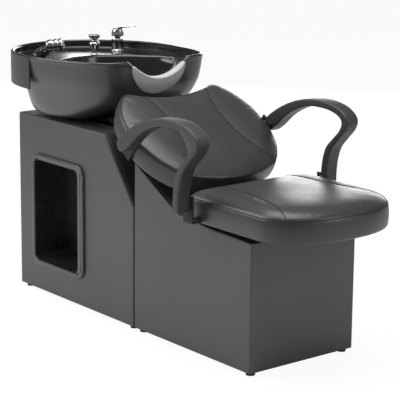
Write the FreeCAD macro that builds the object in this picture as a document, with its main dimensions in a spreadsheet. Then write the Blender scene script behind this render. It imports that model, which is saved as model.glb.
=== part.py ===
import FreeCAD, Part
import math
import os
import re
from types import SimpleNamespace
import Sketcher

# Hair washing bed for a salon: a seat and reclined back in front of a tilting wash bowl,
# carried by two vinyl covered cabinets that are bolted together.
# Frame: +X runs from the bowl to the front of the seat, +Z is up, the centre plane is Y = 0.
# The storage tray is on the -Y side. The floor is Z = 0 and X = 0 is half way along the bed.

V = FreeCAD.Vector
doc = FreeCAD.newDocument("HairWashingBed")

# Driving sizes in millimetres, and angles in degrees
SIZES = [
    # cabinets
    ("base_width", 380), ("board", 18), ("cover_round", 6), ("floor_gap", 11),
    ("rear_length", 600), ("rear_height", 561), ("rear_slope_run", 147), ("rear_slope_drop", 192),
    ("joint_gap", 3), ("front_length", 520), ("front_back_height", 502), ("front_slope_run", 199),
    ("front_shelf_height", 388), ("front_nose_height", 370), ("seat_overhang", 184), ("bowl_overhang", 151),
    ("foot_radius", 13), ("foot_inset", 22), ("waste_hole", 90),
    ("joint_bolt_radius", 4), ("joint_bolt_head", 8), ("joint_bolt_head_height", 5), ("joint_bolt_inset", 70),
    ("joint_bolt_spread", 200),
    # how many flat sides stand for a round one on nuts, shanks, fittings, the bowl and each arc of a cushion
    ("nut_sides", 6), ("shank_sides", 12), ("round_sides", 24), ("bowl_sides", 42), ("arc_sides", 6),
    ("arm_sides", 22),
    # storage tray
    ("tray_from_back", 89), ("tray_low", 107), ("tray_width", 231), ("tray_height", 320),
    ("tray_depth", 120), ("tray_wall", 3), ("tray_lip", 13), ("tray_lip_height", 7), ("tray_corner", 18),
    # seat
    ("seat_length", 429), ("seat_half_width", 218), ("seat_front_sag", 105), ("seat_corner", 62),
    ("seat_rear_corner", 30), ("seat_lift", 14), ("seat_band", 58), ("seat_crown", 24),
    ("seat_board", 15), ("seat_board_inset", 14), ("seat_wing", 68), ("seam_width", 4), ("seam_depth", 4),
    ("rail_width", 30), ("rail_spread", 280), ("rail_start", 18), ("rail_length", 185),
    ("soft_gap", 0.3),
    # back
    ("back_lean", 36), ("back_foot", 212), ("back_foot_rise", 84), ("back_half_width", 228),
    ("back_height", 362), ("back_dip", 35), ("back_band", 62), ("back_crown", 14), ("back_board", 12),
    ("back_board_inset", 14),
    # steel straps
    ("strap", 5), ("strap_width", 40), ("back_strap_spread", 180), ("back_strap_rise", 190),
    # armrests
    ("arm_inner", 247), ("arm_width", 45), ("arm_round", 8), ("arm_foot", 320), ("arm_foot_rise", 56),
    ("arm_back", 68), ("arm_back_rise", 179), ("arm_bolt_radius", 4), ("arm_bolt_head", 7),
    ("arm_cap_height", 3), ("arm_rise", 221),
    # bowl
    ("bowl_length", 622), ("bowl_half_width", 255), ("bowl_lift", 7), ("rim_rise", 184), ("rim_climb", 16),
    ("bowl_wall", 6), ("deck_drop", 23), ("skirt_drop", 94), ("skirt_wall", 5), ("skirt_from", 312),
    ("basin_back", 285), ("notch_half_width", 108), ("notch_depth", 56),
    ("hose_way_length", 70), ("hose_way_width", 120), ("shank_radius", 10),
    ("drain_from_back", 368), ("drain_radius", 24), ("drain_flange_radius", 36), ("drain_flange", 4),
    ("drain_tail_radius", 20), ("drain_tail_length", 150), ("drain_wall", 2), ("drain_nut_radius", 33),
    ("drain_nut", 12), ("strainer_radius", 29), ("strainer_thickness", 2), ("strainer_stem_radius", 4),
    ("strainer_stem", 20), ("strainer_knob_radius", 7), ("strainer_knob", 9), ("strainer_hole", 3),
    ("strainer_holes", 6),
    # bowl tilting bracket
    ("tilt_ahead", 147), ("tilt_rise", 10), ("tilt_pin_radius", 6), ("ear", 5), ("ear_radius", 12),
    ("ear_spread", 160), ("bracket_plate", 3), ("bracket_length", 126), ("bracket_width", 230),
    ("carrier_plate", 4), ("carrier_back", 120), ("carrier_front", 65), ("running_fit", 0.06), ("side_gap", 0.5),
    ("pin_nut_radius", 11), ("pin_nut", 9), ("rest_pad_radius", 12),
    # neck rest
    ("neck_rest_thickness", 16), ("neck_rest_drop", 44), ("neck_rest_half_width", 90), ("neck_rest_rise", 34),
    ("neck_rest_saddle", 7), ("neck_rest_back", 9),
    # mixer, vacuum breaker and sprayer on the deck
    ("mixer_from_back", 183), ("mixer_y", 165), ("mixer_flange_radius", 21), ("mixer_flange", 4),
    ("mixer_radius", 17.5), ("mixer_height", 36), ("hub_radius", 10), ("hub_height", 16), ("hub_spigot_radius", 7),
    ("hub_spigot", 12), ("hub_pivot", 12), ("pivot_radius", 3), ("cap_radius", 18), ("cap_gap", 8),
    ("cap_height", 22), ("cap_wall", 3), ("lever_length", 76), ("lever_width", 15), ("lever_thickness", 4),
    ("lever_rise", 10),
    ("shank_length", 40), ("deck_nut_radius", 16), ("deck_nut", 8),
    ("breaker_from_back", 213), ("breaker_y", 45), ("breaker_height", 66), ("breaker_radius", 16),
    ("holder_from_back", 176), ("holder_y", -142), ("holder_radius", 22), ("holder_flange", 12),
    ("collar_radius", 17), ("collar_length", 38), ("holder_lean", 66), ("grip_radius", 12.5), ("grip_fit", 0.3),
    ("grip_seat", 8), ("grip_length", 72),
    ("head_radius", 19), ("head_length", 42), ("spray_holes", 6), ("spray_hole_radius", 1.6), ("face_depth", 3),
    # one overrun for every cut
    ("overrun", 1),
]

sheet = doc.addObject("Spreadsheet::Sheet", "Sizes")
for row, (name, value) in enumerate(SIZES, 1):
    sheet.set(f"A{row}", name)
    sheet.set(f"B{row}", str(value))
    sheet.setAlias(f"B{row}", name)

# Places worked out from the sizes
PLACES = [
    ("half_length", "(bowl_overhang + rear_length + joint_gap + front_length + seat_overhang) / 2"),
    ("rear_x", "bowl_overhang - half_length"),
    ("rear_front_x", "rear_x + rear_length"),
    ("front_x", "rear_front_x + joint_gap"),
    ("nose_x", "front_x + front_length"),
    ("half_base", "base_width / 2"),
    ("inner_base", "half_base - board"),
    ("rear_slope_x", "rear_front_x - rear_slope_run"),
    ("rear_slope_z", "rear_height - rear_slope_drop"),
    ("front_slope_x", "front_x + front_slope_run"),
    ("tray_x", "rear_x + tray_from_back"),
    ("tray_end_x", "tray_x + tray_width"),
    ("tray_top", "tray_low + tray_height"),
    ("seat_tip_x", "nose_x + seat_overhang"),
    ("seat_back_x", "seat_tip_x - seat_length"),
    ("drain_x", "drain_from_back - half_length"),
    ("bowl_floor", "rear_height + bowl_lift"),
    ("basin_floor", "bowl_floor + bowl_wall"),
    ("bowl_rim_back", "bowl_floor + rim_rise"),
    ("bowl_rim_front", "bowl_rim_back + rim_climb"),
    ("deck_height", "bowl_rim_back - deck_drop"),
    ("tilt_x", "drain_x + tilt_ahead"),
    ("tilt_z", "bowl_floor + tilt_rise"),
    ("seat_bottom", "front_shelf_height + seat_lift"),
    ("seat_top", "seat_bottom + seat_band"),
    ("back_foot_x", "front_x + back_foot"),
    ("back_foot_z", "seat_bottom + back_foot_rise"),
    ("arm_foot_x", "front_x + arm_foot"),
    ("arm_foot_z", "seat_bottom + arm_foot_rise"),
    ("arm_back_x", "front_x + arm_back"),
    ("arm_back_z", "seat_bottom + arm_back_rise"),
    ("rail_x", "seat_back_x + rail_start"),
    ("rail_end_x", "rail_x + rail_length"),
    ("plate_top", "rear_height + bracket_plate"),
    ("carrier_low", "bowl_floor - carrier_plate"),
    ("front_slope_fall", "(front_back_height - front_shelf_height) / front_slope_run"),
    ("joint_bolt_y", "joint_bolt_spread / 2"),
    ("joint_bolt_low", "floor_gap + joint_bolt_inset"),
    ("joint_bolt_high", "rear_slope_z - board - joint_bolt_inset"),
]
places = doc.addObject("Spreadsheet::Sheet", "Places")
SHEETS = dict([(name, "Sizes") for name, value in SIZES] + [(name, "Places") for name, text in PLACES])


def link(text):
    """An expression with each size or place written as a reference to its sheet."""
    return re.sub(r"[a-z_]+",
                  lambda word: f"{SHEETS[word[0]]}.{word[0]}" if word[0] in SHEETS else word[0], text)


for row, (name, text) in enumerate(PLACES, 1):
    places.set(f"A{row}", name)
    places.set(f"B{row}", "=" + link(text))
    places.setAlias(f"B{row}", name)
doc.recompute()
s = SimpleNamespace(**{name: float((sheet if home == "Sizes" else places).get(name)) for name,
                       home in SHEETS.items()})


def value(text):
    """The number that an expression of sizes and places gives."""
    return float(sheet.evalExpression(link(text)))


def place(thing, x="0", y="0", z="0"):
    """Binds a sub-part's position to expressions."""
    for axis, text in zip("xyz", (x, y, z)):
        thing.setExpression(f"Placement.Base.{axis}", link(text))


def drawn(body, plane, loop, tag="Outline"):
    """A closed outline of straight edges whose corners are bound to expressions."""
    sketch = body.newObject("Sketcher::SketchObject", tag)
    sketch.AttachmentSupport = ([f for f in body.Origin.OriginFeatures if f.Role == plane][0], "")
    sketch.MapMode = "FlatFace"
    corners = [V(value(a), value(b), 0) for a, b in loop]
    count = len(loop)
    for i in range(count):
        sketch.addGeometry(Part.LineSegment(corners[i], corners[(i + 1) % count]))
    for i in range(count):
        sketch.addConstraint(Sketcher.Constraint("Coincident", i, 2, (i + 1) % count, 1))
    for i, pair in enumerate(loop):
        for kind, text, number, axis in (("DistanceX", pair[0], corners[i].x, -2),
                                         ("DistanceY", pair[1], corners[i].y, -1)):
            if text == "0":
                sketch.addConstraint(Sketcher.Constraint("PointOnObject", i, 1, axis))
            else:
                place_row = sketch.addConstraint(Sketcher.Constraint(kind, -1, 1, i, 1, number))
                sketch.setExpression(f"Constraints[{place_row}]", link(text))
    return sketch


def slab(name, plane, loop, thickness, x="0", y="0", z="0"):
    """A flat piece: an outline padded by its thickness. XZ pads run to -Y, YZ to +X, XY to +Z."""
    body = doc.addObject("PartDesign::Body", name)
    pad = body.newObject("PartDesign::Pad", "Pad")
    pad.Profile = drawn(body, plane, loop)
    pad.setExpression("Length", link(thickness))
    place(body, x, y, z)
    return body


def pocket(body, sketch, depth):
    """Cuts a sketch out of a body on both sides of its plane and tests that something went."""
    doc.recompute()
    before = body.Shape.Volume
    cut = body.newObject("PartDesign::Pocket", "Pocket")
    cut.Profile = sketch
    cut.Midplane = True
    cut.setExpression("Length", link(f"({depth}) * 2"))
    doc.recompute()
    if body.Shape.Volume >= before:
        raise ValueError(f"a pocket in {body.Label} cuts nothing")
    return cut


def soften(body, radius, test):
    """Rounds the edges of a body whose middle point passes the test."""
    doc.recompute()
    base = body.Tip
    names = []
    for i, edge in enumerate(base.Shape.Edges, 1):
        middle = edge.valueAt((edge.FirstParameter + edge.LastParameter) / 2)
        if test(middle, edge):
            names.append(f"Edge{i}")
    fillet = body.newObject("PartDesign::Fillet", "Fillet")
    fillet.Base = (base, names)
    fillet.setExpression("Radius", link(radius))
    doc.recompute()
    return fillet


def turned(name, profile, x="0", y="0", z="0"):
    """A piece turned about the Z axis from a half profile of radius and height expressions."""
    body = doc.addObject("PartDesign::Body", name)
    turn = body.newObject("PartDesign::Revolution", "Revolution")
    turn.Profile = drawn(body, "XZ_Plane", profile, "HalfProfile")
    turn.ReferenceAxis = (turn.Profile[0], ["V_Axis"])
    turn.Angle = 360
    place(body, x, y, z)
    return body


def box(name, low, size):
    """A rectangular block from its low corner and its three sides, as expressions."""
    block = doc.addObject("Part::Box", name)
    for side, text in zip(("Length", "Width", "Height"), size):
        block.setExpression(side, link(text))
    place(block, *low)
    return block


def shaped(name, shape, placement=None):
    """A sub-part whose solid is worked out with Part's own functions from the sheet's sizes."""
    feature = doc.addObject("Part::Feature", name)
    feature.Shape = shape.removeSplitter() if len(shape.Solids) == 1 else shape
    if placement:
        feature.Placement = placement
    return feature


def group(name, solids):
    """Identical fasteners kept together as separate solids."""
    return shaped(name, Part.makeCompound(solids))


def rod(radius, length, at, along=V(0, 0, 1)):
    return Part.makeCylinder(radius, length, at, along)


def prism(sides, radius, length, at, along=V(0, 0, 1)):
    """A straight bar with a regular many sided section, standing on a point."""
    turns = [2 * math.pi * i / sides for i in range(int(sides) + 1)]
    face = Part.Face(Part.makePolygon([V(radius * math.cos(a), radius * math.sin(a), 0) for a in turns]))
    bar = face.extrude(V(0, 0, length))
    bar.Placement = FreeCAD.Placement(at, FreeCAD.Rotation(V(0, 0, 1), along))
    return bar


def faceted_turn(profile, sides):
    """A solid turned about the Z axis from a closed half profile, with flat sides in place of round ones."""
    faces = []
    for (r0, z0), (r1, z1) in zip(profile, profile[1:] + profile[:1]):
        for i in range(int(sides)):
            a, b = 2 * math.pi * i / sides, 2 * math.pi * (i + 1) / sides
            corners = [V(r0 * math.cos(a), r0 * math.sin(a), z0), V(r0 * math.cos(b), r0 * math.sin(b), z0),
                       V(r1 * math.cos(b), r1 * math.sin(b), z1), V(r1 * math.cos(a), r1 * math.sin(a), z1)]
            loop = [p for n, p in enumerate(corners) if (p - corners[n - 1]).Length > 0]
            if len(loop) > 2:
                faces.append(Part.Face(Part.makePolygon(loop + loop[:1])))
    solid = Part.Solid(Part.Shell(faces))
    return solid if solid.Volume > 0 else solid.reversed()


def line(a, b):
    return Part.LineSegment(a, b).toShape()


def arc(a, b, c):
    return Part.Arc(a, b, c).toShape()


def chorded(edges):
    """A closed outline in which each curved edge is a row of short chords."""
    points = []
    for edge in edges:
        count = 2 if edge.Curve.TypeId == "Part::GeomLine" else int(s.arc_sides) + 1
        points += edge.discretize(Number=count)[:-1]
    return Part.makePolygon(points + points[:1])


def stacked(outlines):
    """A solid skinned with flat triangles over closed outlines that have equally many corners."""
    rings = [[corner.Point for corner in outline.OrderedVertexes] for outline in outlines]
    loops = [rings[0], rings[-1]]
    for low, high in zip(rings, rings[1:]):
        for i in range(len(low)):
            loops += [[low[i - 1], low[i], high[i]], [low[i - 1], high[i], high[i - 1]]]
    solid = Part.Solid(Part.Shell([Part.Face(Part.makePolygon(loop + loop[:1])) for loop in loops]))
    return solid if solid.Volume > 0 else solid.reversed()


def mirrored(shape):
    """The same shape on the other side of the centre plane."""
    return shape.mirror(V(0, 0, 0), V(0, 1, 0))


parts = []


def keep(thing):
    parts.append(thing)
    return thing


# Rear cabinet: vinyl covered boards, with the front cut to a slope below the bowl
rear_side = [("rear_x", "floor_gap"), ("rear_front_x", "floor_gap"), ("rear_front_x", "rear_slope_z"),
             ("rear_slope_x", "rear_height"), ("rear_x", "rear_height")]
near_rear = keep(slab("rear_near_panel", "XZ_Plane", rear_side, "board", y="-inner_base"))
mouth = drawn(near_rear, "XZ_Plane", [("tray_x - tray_wall", "tray_low - tray_wall"),
                                      ("tray_end_x + tray_wall", "tray_low - tray_wall"),
                                      ("tray_end_x + tray_wall", "tray_top + tray_wall"),
                                      ("tray_x - tray_wall", "tray_top + tray_wall")], "TrayMouth")
pocket(near_rear, mouth, "board + overrun")
soften(near_rear, "tray_corner + tray_wall", lambda p, e: abs(e.tangentAt(e.FirstParameter).y) > 0.9
       and s.tray_x - 2 * s.tray_wall < p.x < s.tray_end_x + 2 * s.tray_wall and s.tray_low
       - 2 * s.tray_wall < p.z < s.tray_top + 2 * s.tray_wall)
soften(near_rear, "cover_round", lambda p, e: p.y < -s.board + s.soft_gap
       and (p.z > s.tray_top + s.board or p.x > s.tray_end_x + s.board) and p.z > s.floor_gap + s.board)
far_rear = keep(slab("rear_far_panel", "XZ_Plane", rear_side, "board", y="half_base"))
soften(far_rear, "cover_round", lambda p, e: p.y > -s.soft_gap and p.z > s.floor_gap + s.board
       and p.x > s.rear_x + s.board)
keep(box("rear_back_panel", ("rear_x", "-inner_base", "floor_gap"),
         ("board", "inner_base * 2", "rear_height - board - floor_gap")))


def bolt_holes(body):
    """Four square holes through a joint panel, one for each bolt."""
    for y in ("-joint_bolt_y", "joint_bolt_y"):
        for z in ("joint_bolt_low", "joint_bolt_high"):
            corners = [(f"{y} {a} joint_bolt_radius", f"{z} {b} joint_bolt_radius")
                       for a, b in ("--", "+-", "++", "-+")]
            pocket(body, drawn(body, "YZ_Plane", corners, "BoltHole"), "board + overrun")


rear_joint = keep(slab("rear_joint_panel", "YZ_Plane",
                       [("-inner_base", "floor_gap"), ("inner_base", "floor_gap"),
                        ("inner_base", "rear_slope_z - board"), ("-inner_base", "rear_slope_z - board")],
                       "board", x="rear_front_x - board"))
bolt_holes(rear_joint)
rear_bottom = keep(slab("rear_bottom_board", "XY_Plane",
                        [("rear_x + board", "-inner_base"), ("rear_front_x - board", "-inner_base"),
                         ("rear_front_x - board", "inner_base"), ("rear_x + board", "inner_base")],
                        "board", z="floor_gap"))
pocket(rear_bottom, drawn(rear_bottom, "XY_Plane", [("drain_x - waste_hole / 2", "-waste_hole / 2"),
                                                    ("drain_x + waste_hole / 2", "-waste_hole / 2"),
                                                    ("drain_x + waste_hole / 2", "waste_hole / 2"),
                                                    ("drain_x - waste_hole / 2", "waste_hole / 2")],
                          "WasteHole"), "board + overrun")
rear_top = keep(slab("rear_top_board", "XY_Plane",
                     [("rear_x", "-inner_base"), ("rear_slope_x", "-inner_base"),
                      ("rear_slope_x", "inner_base"), ("rear_x", "inner_base")], "board",
                     z="rear_height - board"))
pocket(rear_top, drawn(rear_top, "XY_Plane", [("rear_x + board * 2", "-drain_nut_radius * 1.5"),
                                              ("drain_x + drain_nut_radius * 1.4", "-drain_nut_radius * 1.5"),
                                              ("drain_x + drain_nut_radius * 1.4", "drain_nut_radius * 1.5"),
                                              ("rear_x + board * 2", "drain_nut_radius * 1.5")],
                       "DrainSlot"), "board + overrun")
keep(slab("rear_slope_board", "XZ_Plane", [("rear_slope_x", "rear_height"),
                                           ("rear_front_x", "rear_slope_z"),
                                           ("rear_front_x", "rear_slope_z - board"),
                                           ("rear_front_x - board / 2", "rear_slope_z - board"),
                                           ("rear_slope_x", "rear_height - board")], "inner_base * 2",
          y="inner_base"))

# Front cabinet: lower, with a slope that clears the reclined back
front_side = [("front_x", "floor_gap"), ("nose_x", "floor_gap"), ("nose_x", "front_nose_height"),
              ("front_slope_x", "front_shelf_height"), ("front_x", "front_back_height")]
near_front = keep(slab("front_near_panel", "XZ_Plane", front_side, "board", y="-inner_base"))
soften(near_front, "cover_round", lambda p, e: p.y < -s.board + s.soft_gap and p.z > s.floor_gap + s.board)
far_front = keep(slab("front_far_panel", "XZ_Plane", front_side, "board", y="half_base"))
soften(far_front, "cover_round", lambda p, e: p.y > -s.soft_gap and p.z > s.floor_gap + s.board)
keep(box("front_nose_panel", ("nose_x - board", "-inner_base", "floor_gap"),
         ("board", "inner_base * 2", "front_nose_height - board - floor_gap")))
front_joint = keep(slab("front_back_panel", "YZ_Plane",
                        [("-inner_base", "floor_gap"), ("inner_base", "floor_gap"),
                         ("inner_base", "front_back_height - board - board * front_slope_fall"),
                         ("-inner_base", "front_back_height - board - board * front_slope_fall")], "board",
                        x="front_x"))
bolt_holes(front_joint)
keep(box("front_bottom_board", ("front_x + board", "-inner_base", "floor_gap"),
         ("front_length - board * 2", "inner_base * 2", "board")))
keep(slab("front_top_board", "XZ_Plane", [("front_slope_x", "front_shelf_height"),
                                          ("nose_x", "front_nose_height"),
                                          ("nose_x", "front_nose_height - board"),
                                          ("front_slope_x", "front_shelf_height - board")],
          "inner_base * 2", y="inner_base"))
keep(slab("front_slope_board", "XZ_Plane", [("front_x", "front_back_height"),
                                            ("front_slope_x", "front_shelf_height"),
                                            ("front_slope_x", "front_shelf_height - board"),
                                            ("front_x", "front_back_height - board")], "inner_base * 2",
          y="inner_base"))

# Bolts that clamp the two cabinets together through their joint panels, with a nut inside the front one
bolts = []
for y_side in (-1, 1):
    for z in (s.joint_bolt_low, s.joint_bolt_high):
        at = V(s.rear_front_x - s.board - s.joint_bolt_head_height, y_side * s.joint_bolt_y, z)
        length = 2 * s.board + s.joint_gap + 2 * s.joint_bolt_head_height
        nut = at + V(length - s.joint_bolt_head_height, 0, 0)
        spacer = V(s.rear_front_x, y_side * s.joint_bolt_y, z)
        bolts.append(prism(s.shank_sides, s.joint_bolt_radius, length, at, V(1, 0, 0)).multiFuse([
            prism(s.nut_sides, s.joint_bolt_head, s.joint_bolt_head_height, at, V(1, 0, 0)),
            prism(s.shank_sides, s.joint_bolt_head, s.joint_gap, spacer, V(1, 0, 0)),
            prism(s.nut_sides, s.joint_bolt_head, s.joint_bolt_head_height, nut, V(1, 0, 0))]))
keep(group("joint_bolts", bolts))

# Feet: round rubber glides under the side panels
foot_solid = prism(s.round_sides, s.foot_radius, s.floor_gap, V(0, 0, 0))
for label, ends in (("rear_feet", (s.rear_x, s.rear_front_x)), ("front_feet", (s.front_x, s.nose_x))):
    spots = [V(x, y, 0) for x in (ends[0] + s.foot_inset, ends[1] - s.foot_inset)
             for y in (s.foot_inset - s.half_base, s.half_base - s.foot_inset)]
    keep(group(label, [foot_solid.translated(spot) for spot in spots]))


def rounded(x0, z0, x1, z1, y, corner):
    """A closed rectangle in a plane of constant Y with its four corners as arcs."""
    k = corner * (1 - math.sqrt(0.5))
    p = lambda x, z: V(x, y, z)
    return chorded([line(p(x0 + corner, z0), p(x1 - corner, z0)),
                    arc(p(x1 - corner, z0), p(x1 - k, z0 + k), p(x1, z0 + corner)),
                    line(p(x1, z0 + corner), p(x1, z1 - corner)),
                    arc(p(x1, z1 - corner), p(x1 - k, z1 - k), p(x1 - corner, z1)),
                    line(p(x1 - corner, z1), p(x0 + corner, z1)),
                    arc(p(x0 + corner, z1), p(x0 + k, z1 - k), p(x0, z1 - corner)),
                    line(p(x0, z1 - corner), p(x0, z0 + corner)),
                    arc(p(x0, z0 + corner), p(x0 + k, z0 + k), p(x0 + corner, z0))])


def tray_block(grow, y0, y1):
    """The tray's mouth grown on all sides and extruded between two depths."""
    outline = rounded(s.tray_x - grow, s.tray_low - grow, s.tray_end_x + grow, s.tray_top + grow, y0,
                      s.tray_corner + grow)
    return Part.Face(outline).extrude(V(0, y1 - y0, 0))


# Storage tray: a moulded tub let in through the near panel, and the raised lip round its mouth
tray_back = s.tray_depth - s.half_base
lip_y = -s.half_base - s.tray_wall
tray = tray_block(s.tray_wall, -s.half_base, tray_back
                  + s.tray_wall).fuse(tray_block(s.tray_lip, lip_y, -s.half_base))
keep(shaped("storage_tray", tray.cut(tray_block(0, lip_y - s.overrun, tray_back))))
lip = tray_block(s.tray_lip, lip_y - s.tray_lip_height + s.tray_wall, lip_y)
lip = lip.cut(tray_block(0, lip_y - s.tray_lip_height, lip_y + s.overrun))
lip = lip.makeChamfer(s.tray_wall / 2, [e for e in lip.Edges if abs(e.BoundBox.YMax
                                                                    - lip.BoundBox.YMin) < s.soft_gap])
keep(shaped("tray_lip", lip))

# Seat: a plywood board on two wedge rails, and the cushion on it
tip = s.seat_tip_x
# the front's shoulder: shares of the corner ahead of it and of the half width, and its shift with an inset
shoulder_shares = (0.62, 0.80, 0.8)
# a point of the side's sweep: shares of the way to the shoulder and of the half width
sweep_shares = (0.58, 0.955)


def seat_outline(inset, z):
    """The seat seen from above: straight back and sides, and a full round front."""
    half = s.seat_half_width - inset
    back = s.seat_back_x + inset
    side_end = tip - s.seat_front_sag
    corner = s.seat_rear_corner
    k = corner * (1 - math.sqrt(0.5))
    shoulder = V(tip - s.seat_corner * shoulder_shares[0] - inset * shoulder_shares[2],
                 half * shoulder_shares[1], z)
    middle = V(side_end + (shoulder.x - side_end) * sweep_shares[0], half * sweep_shares[1], z)
    flip = lambda p: V(p.x, -p.y, p.z)
    a, b, c, d = V(back, half - corner, z), V(back + k, half - k, z), V(back + corner, half,
                                                                        z), V(side_end, half, z)
    return chorded([line(flip(a), a), arc(a, b, c), line(c, d), arc(d, middle, shoulder),
                    arc(shoulder, V(tip - inset, 0, z), flip(shoulder)),
                    arc(flip(shoulder), flip(middle), flip(d)), line(flip(d), flip(c)),
                    arc(flip(c), flip(b), flip(a))])


def crowned(outline, levels):
    """A cushion: the same outline drawn in by an inset at each level, and skinned."""
    return stacked([outline(inset, level) for inset, level in levels])


def seamed(cushion, walls, depth):
    """Sinks a seam into a cushion's crown under each thin wall that stands over it."""
    lowered = cushion.translated(V(0, 0, -depth))
    for wall in walls:
        cushion = cushion.cut(wall.common(cushion).cut(lowered))
    return cushion


def seam_wall(points, width, z0, z1):
    """A thin upright wall along an arc through three points, for cutting a seam."""
    a, b, c = points
    toward = (c - a).cross(V(0, 0, 1)).normalize() * (width / 2)
    face = Part.Face(chorded([arc(a - toward, b - toward, c - toward), line(c - toward, c + toward),
                              arc(c + toward, b + toward, a + toward), line(a + toward, a - toward)]))
    return face.translated(V(0, 0, z0 - a.z)).extrude(V(0, 0, z1 - z0))


# each level of the seat: shares of the crown for the inset and for the height over the band
seat_crown_shares = [(0.5, 0.45), (1.6, 0.85), (3.5, 1.0)]
seat_levels = [(s.seam_depth, s.seat_bottom + s.soft_gap), (0, s.seat_bottom + s.seat_band / 4),
               (0, s.seat_top - s.seat_band / 5), (s.seam_depth, s.seat_top)]
seat_levels += [(s.seat_crown * x, s.seat_top + s.seat_crown * z) for x, z in seat_crown_shares]
seat = crowned(seat_outline, seat_levels)
wing = s.seat_half_width - s.seat_wing
# the seam between the middle panel and a side wing: shares of the length or corner, and of the wing's width
seat_seam_shares = [(0.45, 0.28), (0.5, -0.1)]
seam = (V(s.seat_back_x, wing, 0),
        V(tip - s.seat_length * seat_seam_shares[0][0], wing + s.seat_wing * seat_seam_shares[0][1], 0),
        V(tip - s.seat_corner * seat_seam_shares[1][0], wing + s.seat_wing * seat_seam_shares[1][1], 0))
walls = [seam_wall([V(p.x, side * p.y, 0) for p in seam], s.seam_width, s.seat_top, s.seat_top
                   + s.seat_crown * 2) for side in (-1, 1)]
bed = Part.Face(seat_outline(s.seat_board_inset - s.soft_gap, s.seat_bottom)).extrude(V(0, 0, s.seat_board
                                                                                        + s.soft_gap))
keep(shaped("seat_cushion", seamed(seat, walls, s.seam_depth).cut(bed)))
keep(shaped("seat_board", Part.Face(seat_outline(s.seat_board_inset, s.seat_bottom)).extrude(V(0, 0,
                                                                                               s.seat_board))))
shelf_fall = "(front_shelf_height - front_nose_height) / (nose_x - front_slope_x)"
for label, y_text in (("near_seat_rail", "rail_width / 2 - rail_spread / 2"),
                      ("far_seat_rail", "rail_width / 2 + rail_spread / 2")):
    keep(slab(label, "XZ_Plane",
              [("rail_x", f"front_shelf_height - (rail_x - front_slope_x) * {shelf_fall}"),
               ("rail_end_x", f"front_shelf_height - (rail_end_x - front_slope_x) * {shelf_fall}"),
               ("rail_end_x", "seat_bottom"), ("rail_x", "seat_bottom")], "rail_width", y=y_text))

# Back: drawn flat, X across, Y up the slope and Z out of its face, then leaned into place
lean = math.radians(s.back_lean)
up = V(-math.cos(lean), 0, math.sin(lean))
out = V(math.sin(lean), 0, math.cos(lean))
leaned = FreeCAD.Placement(V(s.back_foot_x, 0, s.back_foot_z), FreeCAD.Rotation(V(0, 1, 0), up, out, "ZXY"))


# the back's outline: shares of its half width and height, from the foot up to the horn of its hollowed top
back_side_shares = [(0.69, 0.052), (0.915, 0.25), (1, 0.54), (0.93, 0.78), (0.745, 0.945), (0.69, 0.988),
                    (0.60, 1)]
back_heel_share = -0.044


def back_outline(inset, level):
    """The back seen square on: a rounded foot, full sides and a top hollowed for the neck."""
    wide = s.back_half_width - inset
    half = s.back_height / 2
    tall = lambda share: half + (share - 0.5) * 2 * (half - inset)
    flip = lambda q: V(-q.x, q.y, q.z)
    foot, side_a, widest, side_b, corner_a, corner_b, horn = [V(x * wide, tall(y), level) for x,
                                                              y in back_side_shares]
    dip, heel = V(0, tall(1) - s.back_dip, level), V(0, tall(back_heel_share), level)
    return chorded([arc(flip(foot), heel, foot), arc(foot, side_a, widest), arc(widest, side_b, corner_a),
                    arc(corner_a, corner_b, horn), arc(horn, dip, flip(horn)),
                    arc(flip(horn), flip(corner_b), flip(corner_a)),
                    arc(flip(corner_a), flip(side_b), flip(widest)),
                    arc(flip(widest), flip(side_a), flip(foot))])


# each level of the back: shares of the crown for the inset and for the height over the band
back_crown_shares = [(1, 0.5), (3, 0.85), (7, 1.0)]
back_levels = [(s.seam_depth, -s.back_band), (0, -s.back_band * 3 / 4), (0, -s.back_band / 5),
               (s.seam_depth, 0)]
back_levels += [(s.back_crown * x, s.back_crown * z) for x, z in back_crown_shares]
back = crowned(back_outline, back_levels)
# the seam of each side wing: shares of the half width and of the height
back_seam_shares = [(0.59, 1.02), (0.70, 0.55), (0.97, 0.2)]
seam = [V(s.back_half_width * x, s.back_height * y, 0) for x, y in back_seam_shares]
walls = [seam_wall([V(side * p.x, p.y, 0) for p in seam], s.seam_width, -s.seam_depth, s.back_crown * 2)
         for side in (-1, 1)]
bed = Part.Face(back_outline(s.back_board_inset - s.soft_gap, -s.back_band)).extrude(V(0, 0, s.back_board
                                                                                       + s.soft_gap))
keep(shaped("back_cushion", seamed(back, walls, s.seam_depth).cut(bed), leaned))
keep(shaped("back_board", Part.Face(back_outline(s.back_board_inset, -s.back_band)).extrude(V(0, 0,
                                                                                              s.back_board)), leaned))

# Steel straps: two carry the back from under the seat board
heel = V(s.back_foot_x, 0, s.back_foot_z) - out * s.back_band
bend = heel + up * ((s.seat_bottom - heel.z) / up.z)
thick = -out * s.strap
lower_bend = bend + thick + up * ((s.seat_bottom - s.strap - (bend + thick).z) / up.z)
front_end = V(s.arm_foot_x + s.strap_width / 2, 0, s.seat_bottom)
strap_side = [front_end, bend, heel + up * s.back_strap_rise, heel + up * s.back_strap_rise + thick,
              lower_bend, front_end - V(0, 0, s.strap), front_end]
strap = Part.Face(Part.makePolygon(strap_side)).extrude(V(0, s.strap_width, 0))
for label, y in (("near_back_strap", -s.back_strap_spread / 2), ("far_back_strap", s.back_strap_spread / 2)):
    keep(shaped(label, strap.translated(V(0, y - s.strap_width / 2, 0))))

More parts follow.
